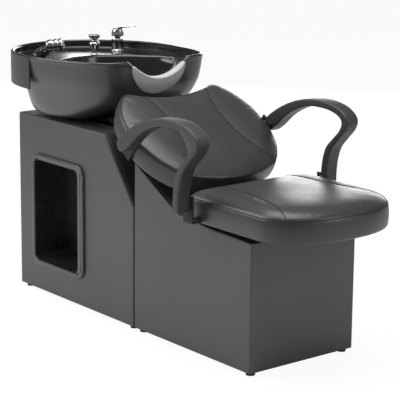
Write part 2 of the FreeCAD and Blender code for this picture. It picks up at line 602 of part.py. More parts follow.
# Angle brackets reach out from the seat board and the back board to the armrest feet
foot_at = V(s.arm_foot_x, 0, s.arm_foot_z)
back_at = V(s.arm_back_x, 0, s.arm_back_z)
half_strap = s.strap_width / 2
bracket_start = s.rail_spread / 2 + s.rail_width / 2 + s.strap
leg = Part.makeBox(s.strap_width, s.arm_inner - bracket_start, s.strap,
                   V(s.arm_foot_x - half_strap, bracket_start, s.seat_bottom - s.strap))
tab_height = s.arm_foot_z + s.arm_bolt_head * 2 - s.seat_bottom + s.strap
tab = Part.makeBox(s.strap_width, s.strap, tab_height,
                   V(s.arm_foot_x - half_strap, s.arm_inner - s.strap, s.seat_bottom - s.strap))
across = V(0, 1, 0)
seat_bracket = leg.fuse(tab).cut(prism(s.shank_sides, s.arm_bolt_radius, s.arm_inner, foot_at, across))
keep(shaped("far_arm_seat_bracket", seat_bracket))
keep(shaped("near_arm_seat_bracket", mirrored(seat_bracket)))
bolt_rise = (back_at - V(s.back_foot_x, 0, s.back_foot_z)).dot(up)
bolt_depth = (back_at - V(s.back_foot_x, 0, s.back_foot_z)).dot(out)
leg_length = s.arm_inner - s.back_strap_spread / 2 - s.strap_width * 2
leg = Part.makeBox(leg_length, s.strap_width, s.strap,
                   V(s.arm_inner - leg_length, bolt_rise - half_strap, -s.back_band - s.strap))
tab = Part.makeBox(s.strap, s.strap_width, s.back_band + s.strap + bolt_depth + s.arm_bolt_head * 2,
                   V(s.arm_inner - s.strap, bolt_rise - half_strap, -s.back_band - s.strap))
hole = rod(s.arm_bolt_radius, s.arm_inner, V(s.overrun, bolt_rise, bolt_depth), V(1, 0, 0))
back_bracket = leg.fuse(tab).cut(hole)
keep(shaped("far_arm_back_bracket", back_bracket, leaned))
keep(shaped("near_arm_back_bracket", back_bracket.mirror(V(0, 0, 0), V(1, 0, 0)), leaned))

# Armrests: moulded loops whose rear foot is bolted to the back and front foot to the seat.
# Each point is a share of the way from the rear bolt to the front bolt, and of the loop's rise over the front bolt.
arm_top_shares = [(-0.050, 0.576), (0.024, 0.665), (0.225, 0.808), (0.476, 0.928), (0.726, 0.988),
                  (0.967, 1.0), (1.175, 0.962), (1.306, 0.890), (1.371, 0.795), (1.341, 0.679),
                  (1.230, 0.541), (1.126, 0.407), (1.075, 0.258), (1.054, 0.107), (1.047, -0.065)]
arm_under_shares = [(0.948, -0.086), (0.952, 0.068), (0.975, 0.258), (1.024, 0.407), (1.118, 0.524),
                    (1.213, 0.632), (1.262, 0.733), (1.242, 0.810), (1.139, 0.869), (0.967, 0.900),
                    (0.726, 0.891), (0.515, 0.814), (0.327, 0.696), (0.138, 0.515), (0.024, 0.443),
                    (-0.036, 0.471)]


def arm_point(shares, y):
    return V(s.arm_back_x + shares[0] * (s.arm_foot_x - s.arm_back_x), y, s.arm_foot_z
             + shares[1] * s.arm_rise)


def arm_section(inset, y):
    """The loop's side outline drawn in by an inset along its own normals."""
    points = []
    for shares in (arm_top_shares, arm_under_shares):
        spline = Part.BSplineCurve()
        spline.interpolate([arm_point(share, y) for share in shares])
        stations = spline.toShape().discretize(Number=int(s.arm_sides))
        for i, point in enumerate(stations):
            along = V(*spline.tangent(spline.parameter(point))[0])
            ending = (i == 0) - (i == len(stations) - 1)
            points.append(point + along.cross(V(0, -1, 0)) * inset + along * (ending * inset))
    return Part.makePolygon(points + points[:1])


arm_end = s.arm_inner + s.arm_width
bevel = s.arm_round * (1 - math.sqrt(0.5))
arm = stacked([arm_section(s.arm_round, s.arm_inner), arm_section(bevel, s.arm_inner + bevel),
               arm_section(0, s.arm_inner + s.arm_round), arm_section(0, arm_end - s.arm_round),
               arm_section(bevel, arm_end - bevel), arm_section(s.arm_round, arm_end)])
for at in (foot_at, back_at):
    arm = arm.cut(prism(s.shank_sides, s.arm_bolt_radius, s.arm_width * 2,
                        V(at.x, s.arm_inner - s.overrun, at.z), across))
    head_seat = V(at.x, arm_end - s.arm_cap_height - s.arm_bolt_head, at.z)
    arm = arm.cut(prism(s.shank_sides, s.arm_bolt_head, s.arm_width, head_seat, across))
keep(shaped("far_armrest", arm))
keep(shaped("near_armrest", mirrored(arm)))
arm_bolts, caps = [], []
for at in (foot_at, back_at):
    head_y = arm_end - s.arm_cap_height - s.arm_bolt_head
    shank_y = s.arm_inner - s.strap * 2
    bolt = prism(s.shank_sides, s.arm_bolt_radius, head_y - shank_y + s.strap, V(at.x, shank_y, at.z),
                 across).multiFuse([prism(s.nut_sides, s.arm_bolt_head, s.strap, V(at.x, head_y, at.z),
                                          across), prism(s.nut_sides, s.arm_bolt_head, s.strap,
                                                         V(at.x, shank_y, at.z), across)])
    cap = prism(s.shank_sides, s.arm_bolt_head, arm_end - head_y - s.strap,
                V(at.x, head_y + s.strap, at.z), across)
    arm_bolts += [bolt, mirrored(bolt)]
    caps += [cap, mirrored(cap)]
keep(group("arm_bolts", arm_bolts))
keep(group("arm_bolt_caps", caps))

# Bowl: an oval tub on a level floor. Its rim climbs a little to the front, where a notch takes the neck,
# its rear holds a deck for the fittings, and a skirt hangs from the rim round its back.
# The three are moulded as one piece and are kept as a shell, a skirt and a deck.
bowl_oval_shares = [(1.0, 0.0), (0.995, 0.30), (0.985, 0.55), (0.90, 0.745), (0.70, 0.868), (0.42, 0.940),
                    (0.05, 0.995), (-0.22, 0.975), (-0.47, 0.880), (-0.70, 0.700), (-0.87, 0.475),
                    (-0.97, 0.230)]


def oval(centre, half_length, half_width, z):
    """The bowl's rim shape at any size: blunt in front and round behind."""
    side = [V(centre + x * half_length, y * half_width, z) for x, y in bowl_oval_shares]
    tail = [V(centre - half_length, 0, z)]
    spline = Part.BSplineCurve()
    spline.interpolate(side + tail + [V(p.x, -p.y, z) for p in reversed(side[1:])], PeriodicFlag=True)
    points = spline.toShape().discretize(Number=int(s.bowl_sides) + 1)[:-1]
    return Part.makePolygon(points + points[:1])


bowl_centre = s.bowl_length / 2 - s.half_length
half_bowl = s.bowl_length / 2
rim_top = s.bowl_rim_front + s.overrun
rise = s.bowl_rim_back - s.bowl_floor
# each section of the tub: share of the rise, and shares of its half length, half width and shift to the rear
tub_shares = [(1.10, 1.0, 1.0, 0.0), (0.72, 0.955, 0.955, 0.0), (0.36, 0.84, 0.86, 0.03),
              (0.12, 0.66, 0.74, 0.09), (0.0, 0.50, 0.60, 0.12)]


def tub(inset, floor):
    """The tub's solid, drawn in by an inset, down to a floor height."""
    return stacked([oval(bowl_centre - shift * half_bowl, long * half_bowl - inset,
                         wide * s.bowl_half_width - inset, floor + share * (s.bowl_floor + rise - floor))
                    for share, long, wide, shift in tub_shares])


def slice_box(x0, x1, z0, z1):
    """A block as wide as the bowl, for trimming it along X and Z."""
    return Part.makeBox(x1 - x0, 4 * s.bowl_half_width, z1 - z0, V(x0, -2 * s.bowl_half_width, z0))


bowl_back = -s.half_length
bowl_front = bowl_back + s.bowl_length
rim_line = [V(bowl_back - s.overrun, 0, s.bowl_rim_back), V(bowl_front + s.overrun, 0, s.bowl_rim_front),
            V(bowl_front + s.overrun, 0, s.bowl_rim_front + rise),
            V(bowl_back - s.overrun, 0, s.bowl_rim_front + rise)]
above_rim = Part.Face(Part.makePolygon(rim_line + rim_line[:1])).extrude(V(0, 4 * s.bowl_half_width, 0))
above_rim = above_rim.translated(V(0, -2 * s.bowl_half_width, 0))
outer = tub(0, s.bowl_floor)
skirt_low = s.bowl_rim_back - s.skirt_drop
skirt = Part.Face(oval(bowl_centre, half_bowl, s.bowl_half_width, skirt_low)).extrude(V(0, 0, rim_top
                                                                                        + s.bowl_wall - skirt_low))
skirt_hollow = Part.Face(oval(bowl_centre, half_bowl - s.skirt_wall, s.bowl_half_width - s.skirt_wall,
                              skirt_low))
skirt = skirt.cut(skirt_hollow.extrude(V(0, 0, 2 * rise)))
skirt = skirt.cut(slice_box(bowl_back + s.skirt_from, bowl_front + half_bowl, skirt_low - s.overrun,
                            rim_top + rise))
# the basin's back wall: share of the height from floor to deck, and how far forward it has come as a share of the basin
basin_shares = [(1.0, 0.0), (0.55, 0.02), (0.22, 0.055), (0.06, 0.10), (0.0, 0.13)]
basin_length = s.bowl_length - s.basin_back


def basin(grow):
    """A block that reaches past the front and sides of the tub, with the basin's round back wall."""
    sections = []
    for share, forward in basin_shares:
        back_x = bowl_back + s.basin_back + forward * basin_length - grow
        z = s.basin_floor - grow + share * (s.deck_height + s.overrun - s.basin_floor + grow)
        sections.append(oval(back_x + basin_length, basin_length, s.bowl_half_width + s.skirt_drop + grow, z))
    return stacked(sections)


notch_round = (s.notch_half_width ** 2 + s.notch_depth ** 2) / (2 * s.notch_depth)
notch_low = s.bowl_rim_front - s.notch_depth
notch_centre = V(bowl_front - s.skirt_from / 2, 0, notch_low + notch_round)
notch = prism(s.bowl_sides * 2, notch_round, half_bowl, notch_centre, V(1, 0, 0))
drain_at = V(s.drain_x, 0, s.bowl_floor)
inner_tub = tub(s.bowl_wall, s.basin_floor)
behind_basin = inner_tub.cut(basin(0)).cut(slice_box(bowl_back, bowl_front, s.deck_height, rim_top + rise))
under_deck = inner_tub.cut(basin(s.bowl_wall)).cut(slice_box(bowl_back, bowl_front, s.deck_height
                                                             - s.bowl_wall, rim_top + rise))
hose_way = Part.makeBox(s.hose_way_length, s.hose_way_width, 4 * s.bowl_wall,
                        V(s.drain_x - s.carrier_back - s.hose_way_length, -s.hose_way_width / 2,
                          s.bowl_floor - s.bowl_wall))
deck = V(0, 0, s.deck_height)
mixer_at = deck + V(s.mixer_from_back - s.half_length, s.mixer_y, 0)
breaker_at = deck + V(s.breaker_from_back - s.half_length, s.breaker_y, 0)
holder_at = deck + V(s.holder_from_back - s.half_length, s.holder_y, 0)
shank_holes = [prism(s.round_sides, s.shank_radius, 4 * s.bowl_wall, at - V(0, 0, 2 * s.bowl_wall))
               for at in (mixer_at, breaker_at, holder_at)]
drain_bore = rod(s.drain_radius, s.bowl_wall + 2 * s.overrun, drain_at - V(0, 0, s.overrun))
keep(shaped("bowl_shell", outer.cut([above_rim, inner_tub, notch, hose_way, drain_bore])))
keep(shaped("bowl_skirt", skirt.cut(above_rim).cut(outer)))
keep(shaped("bowl_deck", behind_basin.cut(under_deck).cut(Part.makeCompound(shank_holes))))

# Tilting bracket: a steel plate with two ears on the rear cabinet, a carrier plate bolted under the bowl,
# a hinge pin through both, and a nut on each end of the pin
tilt_at = V(s.tilt_x, 0, s.tilt_z)
ear_face = s.ear_spread / 2
bracket = Part.makeBox(s.bracket_length, s.bracket_width, s.bracket_plate,
                       V(s.tilt_x - s.bracket_length / 2, -s.bracket_width / 2, s.rear_height))
for side in (-1, 1):
    low_y = side * (ear_face + s.ear / 2) - s.ear / 2
    foot = Part.makeBox(2 * s.ear_radius, s.ear, s.tilt_z - s.plate_top,
                        V(s.tilt_x - s.ear_radius, low_y, s.plate_top))
    bracket = bracket.fuse(foot).fuse(rod(s.ear_radius, s.ear, V(s.tilt_x, low_y, s.tilt_z), across))
pin_half = ear_face + s.ear + s.pin_nut + s.ear
bracket = bracket.cut(rod(s.tilt_pin_radius, 2 * pin_half, tilt_at - across * pin_half, across))
keep(shaped("bowl_bracket", bracket))
keep(shaped("tilt_pin", rod(s.tilt_pin_radius, 2 * pin_half, tilt_at - across * pin_half, across)))
nut_at = tilt_at + across * (ear_face + s.ear)
pin_nut = prism(s.nut_sides, s.pin_nut_radius, s.pin_nut, nut_at,
                across).cut(rod(s.tilt_pin_radius, s.pin_nut, nut_at, across))
keep(group("tilt_nuts", [pin_nut, mirrored(pin_nut)]))
carrier_back_x = s.drain_x - s.carrier_back
carrier_front_x = s.drain_x + s.carrier_front
carrier_half = ear_face - s.side_gap
carrier = Part.makeBox(s.carrier_back + s.carrier_front, 2 * carrier_half, s.carrier_plate,
                       V(carrier_back_x, -carrier_half, s.carrier_low))
nut_room = s.drain_nut_radius + s.carrier_plate
carrier = carrier.cut(prism(s.round_sides, nut_room, s.carrier_plate, V(s.drain_x, 0, s.carrier_low)))
for side in (-1, 1):
    low_y = side * (carrier_half - s.ear / 2) - s.ear / 2
    arm_low = s.tilt_z - s.ear_radius
    web = [V(carrier_front_x - s.ear_radius, low_y, s.carrier_low), V(carrier_front_x, low_y, s.carrier_low),
           V(s.tilt_x, low_y, arm_low), V(s.tilt_x, low_y, s.tilt_z + s.ear_radius),
           V(carrier_front_x, low_y, s.bowl_floor), V(carrier_front_x - s.ear_radius, low_y, s.bowl_floor)]
    carrier = carrier.fuse(Part.Face(Part.makePolygon(web + web[:1])).extrude(V(0, s.ear, 0)))
    carrier = carrier.fuse(rod(s.ear_radius, s.ear, V(s.tilt_x, low_y, s.tilt_z), across))
carrier = carrier.cut(rod(s.tilt_pin_radius + s.running_fit, 2 * ear_face, tilt_at - across * ear_face,
                          across))
keep(shaped("bowl_carrier", carrier))
pad_height = s.carrier_low - s.rear_height - s.soft_gap
pad_x = carrier_back_x + s.rest_pad_radius * 2
pads = [prism(s.round_sides, s.rest_pad_radius, pad_height,
              V(pad_x, side * (carrier_half - s.rest_pad_radius), s.rear_height)) for side in (-1, 1)]
keep(group("bowl_rest_pads", pads))

# Drain: a flange through the bowl's floor, a nut under it and a tailpiece, with a strainer that lifts out
recess_floor = s.basin_floor + s.drain_flange - s.strainer_thickness
barrel = s.drain_radius - s.soft_gap
throat = barrel - s.drain_wall
barrel_low = -s.drain_nut - s.drain_wall
rim_high = s.bowl_wall + s.drain_flange
recess = rim_high - s.strainer_thickness
flange = faceted_turn([(throat, barrel_low), (barrel, barrel_low), (barrel, s.bowl_wall),
                       (s.drain_flange_radius, s.bowl_wall), (s.drain_flange_radius - s.drain_wall,
                                                              rim_high), (s.strainer_radius + s.soft_gap,
                                                                          rim_high), (s.strainer_radius
                                                                                      + s.soft_gap, recess), (throat, recess)], s.round_sides)
keep(shaped("drain_flange", flange.translated(drain_at)))
nut = faceted_turn([(barrel, -s.drain_nut), (s.drain_nut_radius, -s.drain_nut), (s.drain_nut_radius, 0),
                    (barrel, 0)], s.round_sides)
keep(shaped("drain_nut", nut.translated(drain_at)))
keep(turned("drain_tailpiece", [("drain_tail_radius - drain_wall", "bowl_floor - drain_tail_length"),
                                ("drain_tail_radius", "bowl_floor - drain_tail_length"),
                                ("drain_tail_radius", "bowl_floor - drain_nut - drain_wall * 2"),
                                ("drain_radius", "bowl_floor - drain_nut - drain_wall * 2"),
                                ("drain_radius", "bowl_floor - drain_nut - drain_wall"),
                                ("drain_tail_radius - drain_wall", "bowl_floor - drain_nut - drain_wall")],
            x="drain_x"))
strainer = prism(s.round_sides, s.strainer_radius, s.strainer_thickness,
                 V(s.drain_x, 0, recess_floor + s.soft_gap)).multiFuse([prism(s.shank_sides,
                                                                              s.strainer_stem_radius,
                                                                              s.strainer_stem,
                                                                              V(s.drain_x, 0, recess_floor
                                                                                + s.strainer_thickness
                                                                                - s.strainer_stem)),
                                                                        prism(s.round_sides,
                                                                              s.strainer_knob_radius,
                                                                              s.strainer_knob,
                                                                              V(s.drain_x, 0, recess_floor
                                                                                + s.strainer_thickness))])
for turn in range(int(s.strainer_holes)):
    angle = 2 * math.pi * turn / s.strainer_holes
    ring = (throat + s.strainer_knob_radius) / 2
    spot = V(s.drain_x + ring * math.cos(angle), ring * math.sin(angle), recess_floor - s.overrun)
    strainer = strainer.cut(prism(s.nut_sides, s.strainer_hole, s.strainer_thickness * 3, spot))
keep(shaped("drain_strainer", strainer))

# Neck rest: a soft crescent that hooks over the notch and lies against the front of the bowl
drop = s.neck_rest_drop + s.neck_rest_rise
crescent_round = (s.neck_rest_half_width ** 2 + drop ** 2) / (2 * drop)
crescent_centre = V(notch_centre.x, 0, notch_low - s.neck_rest_drop + crescent_round)
behind_notch = notch_centre - V(half_bowl, 0, 0)
crescent = prism(s.bowl_sides * 2, crescent_round, half_bowl, crescent_centre, V(1, 0, 0))
crescent = crescent.cut(prism(s.bowl_sides * 2, notch_round - s.neck_rest_saddle, 2 * half_bowl,
                              behind_notch, V(1, 0, 0)))
front_face = outer.translated(V(s.neck_rest_thickness, 0, 0))
notch_room = prism(s.bowl_sides * 2, notch_round - s.soft_gap, 2 * half_bowl, behind_notch, V(1, 0, 0))
wall_zone = outer.translated(V(s.soft_gap, 0, 0)).cut(notch_room)
behind = outer.translated(V(-s.bowl_wall - s.neck_rest_back, 0, 0))
above_notch = slice_box(bowl_front - half_bowl, bowl_front + half_bowl, notch_low + s.neck_rest_rise,
                        rim_top + rise)
neck = crescent.common(front_face).cut(wall_zone).cut(behind).cut(above_notch)
keep(shaped("neck_rest", neck))

# Mixer: flange, body, a hub that turns in the body, and a cap with a lever that rocks on a cross pin through the hub
body_top = s.mixer_height + s.mixer_flange
shank = s.shank_radius - s.soft_gap


def turned_at(name, at, profile):
    """A fitting turned from numbers: a half profile of radius and height, stood on a point."""
    return shaped(name, faceted_turn(profile, s.round_sides).translated(at))


keep(turned_at("mixer_flange", mixer_at, [(s.shank_radius, 0), (s.mixer_flange_radius, 0),
                                          (s.mixer_flange_radius - s.mixer_flange / 2, s.mixer_flange),
                                          (s.shank_radius, s.mixer_flange)]))
body = faceted_turn([(0, -s.shank_length), (shank, -s.shank_length), (shank, s.mixer_flange),
                     (s.mixer_radius, s.mixer_flange), (s.mixer_radius, body_top - s.cap_wall),
                     (s.mixer_radius - s.cap_wall, body_top), (0, body_top)], s.round_sides)
spigot_well = rod(s.hub_spigot_radius + s.running_fit, s.hub_spigot + s.side_gap,
                  V(0, 0, body_top - s.hub_spigot - s.side_gap))
keep(shaped("mixer_body", body.cut(spigot_well).translated(mixer_at)))
hub_at = mixer_at + V(0, 0, body_top)
pivot_at = hub_at + V(0, 0, s.hub_pivot)
hub = prism(s.round_sides, s.hub_radius, s.hub_height, hub_at)
hub = hub.fuse(rod(s.hub_spigot_radius, s.hub_spigot, hub_at - V(0, 0, s.hub_spigot)))
pivot_low = pivot_at - across * s.hub_radius
keep(shaped("mixer_hub", hub.cut(rod(s.pivot_radius + s.running_fit, 2 * s.hub_radius, pivot_low, across))))
cap_low = hub_at + V(0, 0, s.cap_gap)
cap = faceted_turn([(0, s.cap_height - s.cap_wall), (s.cap_radius - s.cap_wall, s.cap_height - s.cap_wall),
                    (s.cap_radius - s.cap_wall, 0), (s.cap_radius, 0),
                    (s.cap_radius, s.cap_height - s.cap_wall), (s.cap_radius - s.cap_wall, s.cap_height),
                    (0, s.cap_height)], s.round_sides).translated(cap_low)
pivot_half = s.cap_radius - s.cap_wall / 2
cap = cap.fuse(rod(s.pivot_radius, 2 * pivot_half, pivot_at - across * pivot_half, across))
lever_low = s.cap_height - s.lever_thickness * 2
lever_side = [(s.cap_radius - s.cap_wall / 2, lever_low), (s.lever_length, lever_low + s.lever_rise),
              (s.lever_length, lever_low + s.lever_rise + s.lever_thickness / 2),
              (s.cap_radius - s.cap_wall / 2, lever_low + s.lever_thickness)]
lever_face = Part.Face(Part.makePolygon([cap_low + V(x, -s.lever_width / 2, z) for x, z in lever_side
                                         + lever_side[:1]]))
lever = lever_face.extrude(V(0, s.lever_width, 0))
tip_edges = [e for e in lever.Edges if e.BoundBox.XMin > cap_low.x + s.lever_length - s.soft_gap
             and e.BoundBox.YLength < s.soft_gap]
lever = lever.makeChamfer(s.lever_width / 3, tip_edges)
keep(shaped("mixer_lever", cap.fuse(lever)))

# Vacuum breaker: a turned chrome fitting with a ball, a waist and a round cap
tall = s.breaker_height
wide = s.breaker_radius
breaker_shares = [(0.95, 0.0), (0.55, 0.12), (0.55, 0.19), (0.95, 0.36), (0.92, 0.50), (0.50, 0.64),
                  (0.95, 0.76), (1.0, 0.93), (0.82, 1.0), (0.0, 1.0)]
keep(turned_at("vacuum_breaker", breaker_at, [(0, -s.shank_length), (shank, -s.shank_length), (shank, 0)]
               + [(x * wide, z * tall) for x, z in breaker_shares]))

# Sprayer: a black holder with a slanted collar on the deck, and a hand sprayer that draws out along it
slant = math.radians(s.holder_lean)
reach = V(math.sin(slant), 0, math.cos(slant))
collar_at = holder_at + V(0, 0, s.holder_flange)
collar = prism(s.round_sides, s.collar_radius, s.collar_length + s.collar_radius, collar_at
               - reach * s.collar_radius, reach)
below_deck = Part.makeBox(4 * s.holder_radius, 4 * s.holder_radius, 4 * s.collar_radius,
                          holder_at - V(2 * s.holder_radius, 2 * s.holder_radius, 4 * s.collar_radius))
holder = collar.fuse(prism(s.round_sides, s.holder_radius, s.collar_radius, holder_at)).cut(below_deck)
holder = holder.fuse(prism(s.round_sides, shank, s.shank_length + s.holder_flange, holder_at
                           - V(0, 0, s.shank_length)))
seat_at = collar_at + reach * s.grip_seat
bore = prism(s.round_sides, s.grip_radius + s.grip_fit, s.collar_length * 2, seat_at, reach)
keep(shaped("sprayer_holder", holder.cut(bore)))
to_slant = FreeCAD.Placement(seat_at + reach * s.soft_gap, FreeCAD.Rotation(V(0, 0, 1), reach))
grip_shares = [(0.0, 0.0), (1.0, 0.0), (1.0, 0.62), (0.74, 1.0), (0.0, 1.0)]
grip = faceted_turn([(r * s.grip_radius, z * s.grip_length) for r, z in grip_shares], s.round_sides)
keep(shaped("sprayer_grip", grip, to_slant))
head_shares = [(0.0, 0.0), (0.49, 0.0), (0.95, 0.34), (1.0, 0.94), (0.93, 1.0), (0.86, 1.0), (0.86, 0.93),
               (0.0, 0.93)]
head_low = s.grip_length
head = faceted_turn([(r * s.head_radius, head_low + z * s.head_length) for r, z in head_shares],
                    s.round_sides)
keep(shaped("sprayer_head", head, to_slant))
face_top = head_low + s.head_length
face_radius = head_shares[5][0] * s.head_radius
face_low = head_low + head_shares[6][1] * s.head_length
disc = prism(s.round_sides, face_radius, face_top - face_low, V(0, 0, face_low))
for turn in range(int(s.spray_holes)):
    angle = 2 * math.pi * turn / s.spray_holes
    spot = V(math.cos(angle), math.sin(angle), 0) * (face_radius * 2 / 3) + V(0, 0, face_top - s.face_depth)
    disc = disc.cut(prism(s.nut_sides, s.spray_hole_radius, 2 * s.face_depth, spot))
keep(shaped("spray_face", disc, to_slant))

# Nuts under the deck that hold the three fittings
nuts = []
for at in (mixer_at, breaker_at, holder_at):
    low = at - V(0, 0, s.bowl_wall + s.deck_nut)
    nuts.append(prism(s.nut_sides, s.deck_nut_radius, s.deck_nut,
                      low).cut(prism(s.round_sides, shank, s.deck_nut, low)))
keep(group("deck_nuts", nuts))

doc.recompute()
for thing in doc.Objects:
    if "Invalid" in thing.State or "Error" in thing.State:
        raise ValueError(f"{thing.Label} is not built: {thing.State}")
os.makedirs("parts", exist_ok=True)
for thing in parts:
    if thing.Shape.isNull() or not thing.Shape.isValid():
        raise ValueError(f"{thing.Label} has no sound shape")
    thing.Shape.exportStep(f"parts/{thing.Label}.step")
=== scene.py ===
import math
import bpy
import numpy as np
from mathutils import Matrix, Vector


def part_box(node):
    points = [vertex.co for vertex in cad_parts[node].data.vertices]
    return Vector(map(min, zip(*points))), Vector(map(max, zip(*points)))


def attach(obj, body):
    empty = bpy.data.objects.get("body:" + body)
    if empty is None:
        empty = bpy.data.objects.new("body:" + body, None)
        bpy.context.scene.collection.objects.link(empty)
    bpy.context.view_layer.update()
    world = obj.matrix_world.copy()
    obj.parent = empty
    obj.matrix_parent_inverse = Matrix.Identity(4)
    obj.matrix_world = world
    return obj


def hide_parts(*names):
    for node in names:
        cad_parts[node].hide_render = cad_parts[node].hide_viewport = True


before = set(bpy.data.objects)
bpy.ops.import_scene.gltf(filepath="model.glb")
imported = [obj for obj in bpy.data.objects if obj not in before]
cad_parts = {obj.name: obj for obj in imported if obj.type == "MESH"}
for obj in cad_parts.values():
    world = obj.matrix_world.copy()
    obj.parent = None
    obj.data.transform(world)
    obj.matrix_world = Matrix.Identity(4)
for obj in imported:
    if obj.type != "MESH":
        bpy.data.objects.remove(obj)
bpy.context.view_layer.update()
scene = bpy.context.scene

# Camera: at the client's left, ahead of the seat and a little above it, with a long lens.
# Its bearing, dip and roll are those of the picture that the bed was first seen in.
camera = bpy.data.objects.new("camera", bpy.data.cameras.new("camera"))
scene.collection.objects.link(camera)
scene.camera = camera
bearing, dip, roll = np.radians([51.06, 12.97, 0.61])
toward_camera = np.array([math.sin(bearing) * math.cos(dip), -math.cos(bearing) * math.cos(dip),
                          math.sin(dip)])
level_right = np.array([math.cos(bearing), math.sin(bearing), 0.0])
level_up = np.cross(toward_camera, level_right)
camera_right = math.cos(roll) * level_right + math.sin(roll) * level_up
camera_up = math.cos(roll) * level_up - math.sin(roll) * level_right
turn = Matrix(np.column_stack([camera_right, camera_up, toward_camera]).tolist()).to_4x4()
camera.matrix_world = Matrix.Translation((3.653, -2.868, 1.452)) @ turn
camera.data.lens = 145.35
camera.data.shift_x = -0.0075
camera.data.shift_y = -0.0175
camera.data.clip_end = 50.0

# Studio floor: one wide white sheet. A camera ray sees it a little lighter than the lamps make it,
# so it fades into the white background and still keeps the bed's soft shadow.
floor_half, floor_white, floor_glow = 30.0, 0.93, 0.93
floor_mesh = bpy.data.meshes.new("floor")
corners = [(-floor_half, -floor_half, 0), (floor_half, -floor_half, 0), (floor_half, floor_half, 0),
           (-floor_half, floor_half, 0)]
floor_mesh.from_pydata(corners, [], [(0, 1, 2, 3)])
floor = bpy.data.objects.new("floor", floor_mesh)
scene.collection.objects.link(floor)
paper = bpy.data.materials.new("white_paper")
paper.use_nodes = True
tree = paper.node_tree
tree.nodes.clear()
matte = tree.nodes.new("ShaderNodeBsdfDiffuse")
matte.inputs["Color"].default_value = (floor_white, floor_white, floor_white, 1)
glow = tree.nodes.new("ShaderNodeEmission")
glow.inputs["Color"].default_value = (1, 1, 1, 1)
path = tree.nodes.new("ShaderNodeLightPath")
seen = tree.nodes.new("ShaderNodeMath")
seen.operation = "MULTIPLY"
seen.inputs[1].default_value = floor_glow
blend_in = tree.nodes.new("ShaderNodeMixShader")
sheet_out = tree.nodes.new("ShaderNodeOutputMaterial")
tree.links.new(path.outputs["Is Camera Ray"], seen.inputs[0])
tree.links.new(seen.outputs[0], blend_in.inputs[0])
tree.links.new(matte.outputs[0], blend_in.inputs[1])
tree.links.new(glow.outputs[0], blend_in.inputs[2])
tree.links.new(blend_in.outputs[0], sheet_out.inputs[0])
floor_mesh.materials.append(paper)

# Studio light: a pale surround that is dimmest a little above the horizon, and four large soft boxes.
# A camera ray sees the surround as plain white.
scene.view_settings.view_transform = "Standard"
world = bpy.data.worlds.new("studio")
scene.world = world
world.use_nodes = True
tree = world.node_tree
tree.nodes.clear()
compass = tree.nodes.new("ShaderNodeTexCoord")
split = tree.nodes.new("ShaderNodeSeparateXYZ")
height_ramp = tree.nodes.new("ShaderNodeValToRGB")
ramp = height_ramp.color_ramp
ramp.elements[0].position = 0.0
ramp.elements[0].color = (0.50, 0.50, 0.50, 1)
ramp.elements[1].position = 0.75
ramp.elements[1].color = (0.62, 0.62, 0.62, 1)
dim = ramp.elements.new(0.22)
dim.color = (0.16, 0.16, 0.17, 1)
surround = tree.nodes.new("ShaderNodeBackground")
surround.inputs["Strength"].default_value = 0.75
plain_white = tree.nodes.new("ShaderNodeBackground")
plain_white.inputs["Color"].default_value = (1, 1, 1, 1)
path = tree.nodes.new("ShaderNodeLightPath")
choose = tree.nodes.new("ShaderNodeMixShader")
world_out = tree.nodes.new("ShaderNodeOutputWorld")
tree.links.new(compass.outputs["Generated"], split.inputs[0])
tree.links.new(split.outputs["Z"], height_ramp.inputs[0])
tree.links.new(height_ramp.outputs[0], surround.inputs["Color"])
tree.links.new(path.outputs["Is Camera Ray"], choose.inputs[0])
tree.links.new(surround.outputs[0], choose.inputs[1])
tree.links.new(plain_white.outputs[0], choose.inputs[2])
tree.links.new(choose.outputs[0], world_out.inputs[0])


def soft_box(name, at, aim, size, power):
    """A rectangular lamp at a point, facing another point."""
    lamp = bpy.data.objects.new(name, bpy.data.lights.new(name, "AREA"))
    lamp.data.shape = "RECTANGLE"
    lamp.data.size, lamp.data.size_y = size
    lamp.data.energy = power
    lamp.location = at
    lamp.rotation_mode = "QUATERNION"
    lamp.rotation_quaternion = (Vector(aim) - Vector(at)).to_track_quat("-Z", "Y")
    lamp.visible_camera = False
    scene.collection.objects.link(lamp)


soft_box("overhead_box", at=(0.2, -0.3, 2.9), aim=(0.1, 0.0, 0.4), size=(2.6, 1.8), power=82)
soft_box("near_side_box", at=(-1.7, -2.3, 2.1), aim=(-0.1, 0.0, 0.55), size=(2.2, 1.6), power=68)
soft_box("back_box", at=(-2.7, 3.3, 1.05), aim=(0.1, 0.0, 0.5), size=(3.2, 1.1), power=76)
soft_box("front_box", at=(3.2, 1.3, 1.7), aim=(0.3, 0.0, 0.4), size=(1.2, 1.8), power=26)

# Cabinets: boards covered in black leather-look vinyl, glued down and turned over rounded edges.
# The cover has a fine pebble grain, a low sheen, and faint rub marks.
FLOAT, VECTOR = "NodeSocketFloat", "NodeSocketVector"


def effect(name, inputs, outputs):
    """A shader node group with named number and vector inputs and named number outputs."""
    group = bpy.data.node_groups.new(name, "ShaderNodeTree")
    for label, kind, start in inputs:
        socket = group.interface.new_socket(label, in_out="INPUT", socket_type=kind)
        if start is not None:
            socket.default_value = start
    for label, kind in outputs:
        group.interface.new_socket(label, in_out="OUTPUT", socket_type=kind)
    return group, group.nodes.new("NodeGroupInput"), group.nodes.new("NodeGroupOutput")


def sums(group, operation, a, b):
    """One math node on two numbers or sockets."""
    node = group.nodes.new("ShaderNodeMath")
    node.operation = operation
    for socket, source in zip(node.inputs, (a, b)):
        if isinstance(source, (int, float)):
            socket.default_value = source
        else:
            group.links.new(source, socket)
    return node.outputs[0]


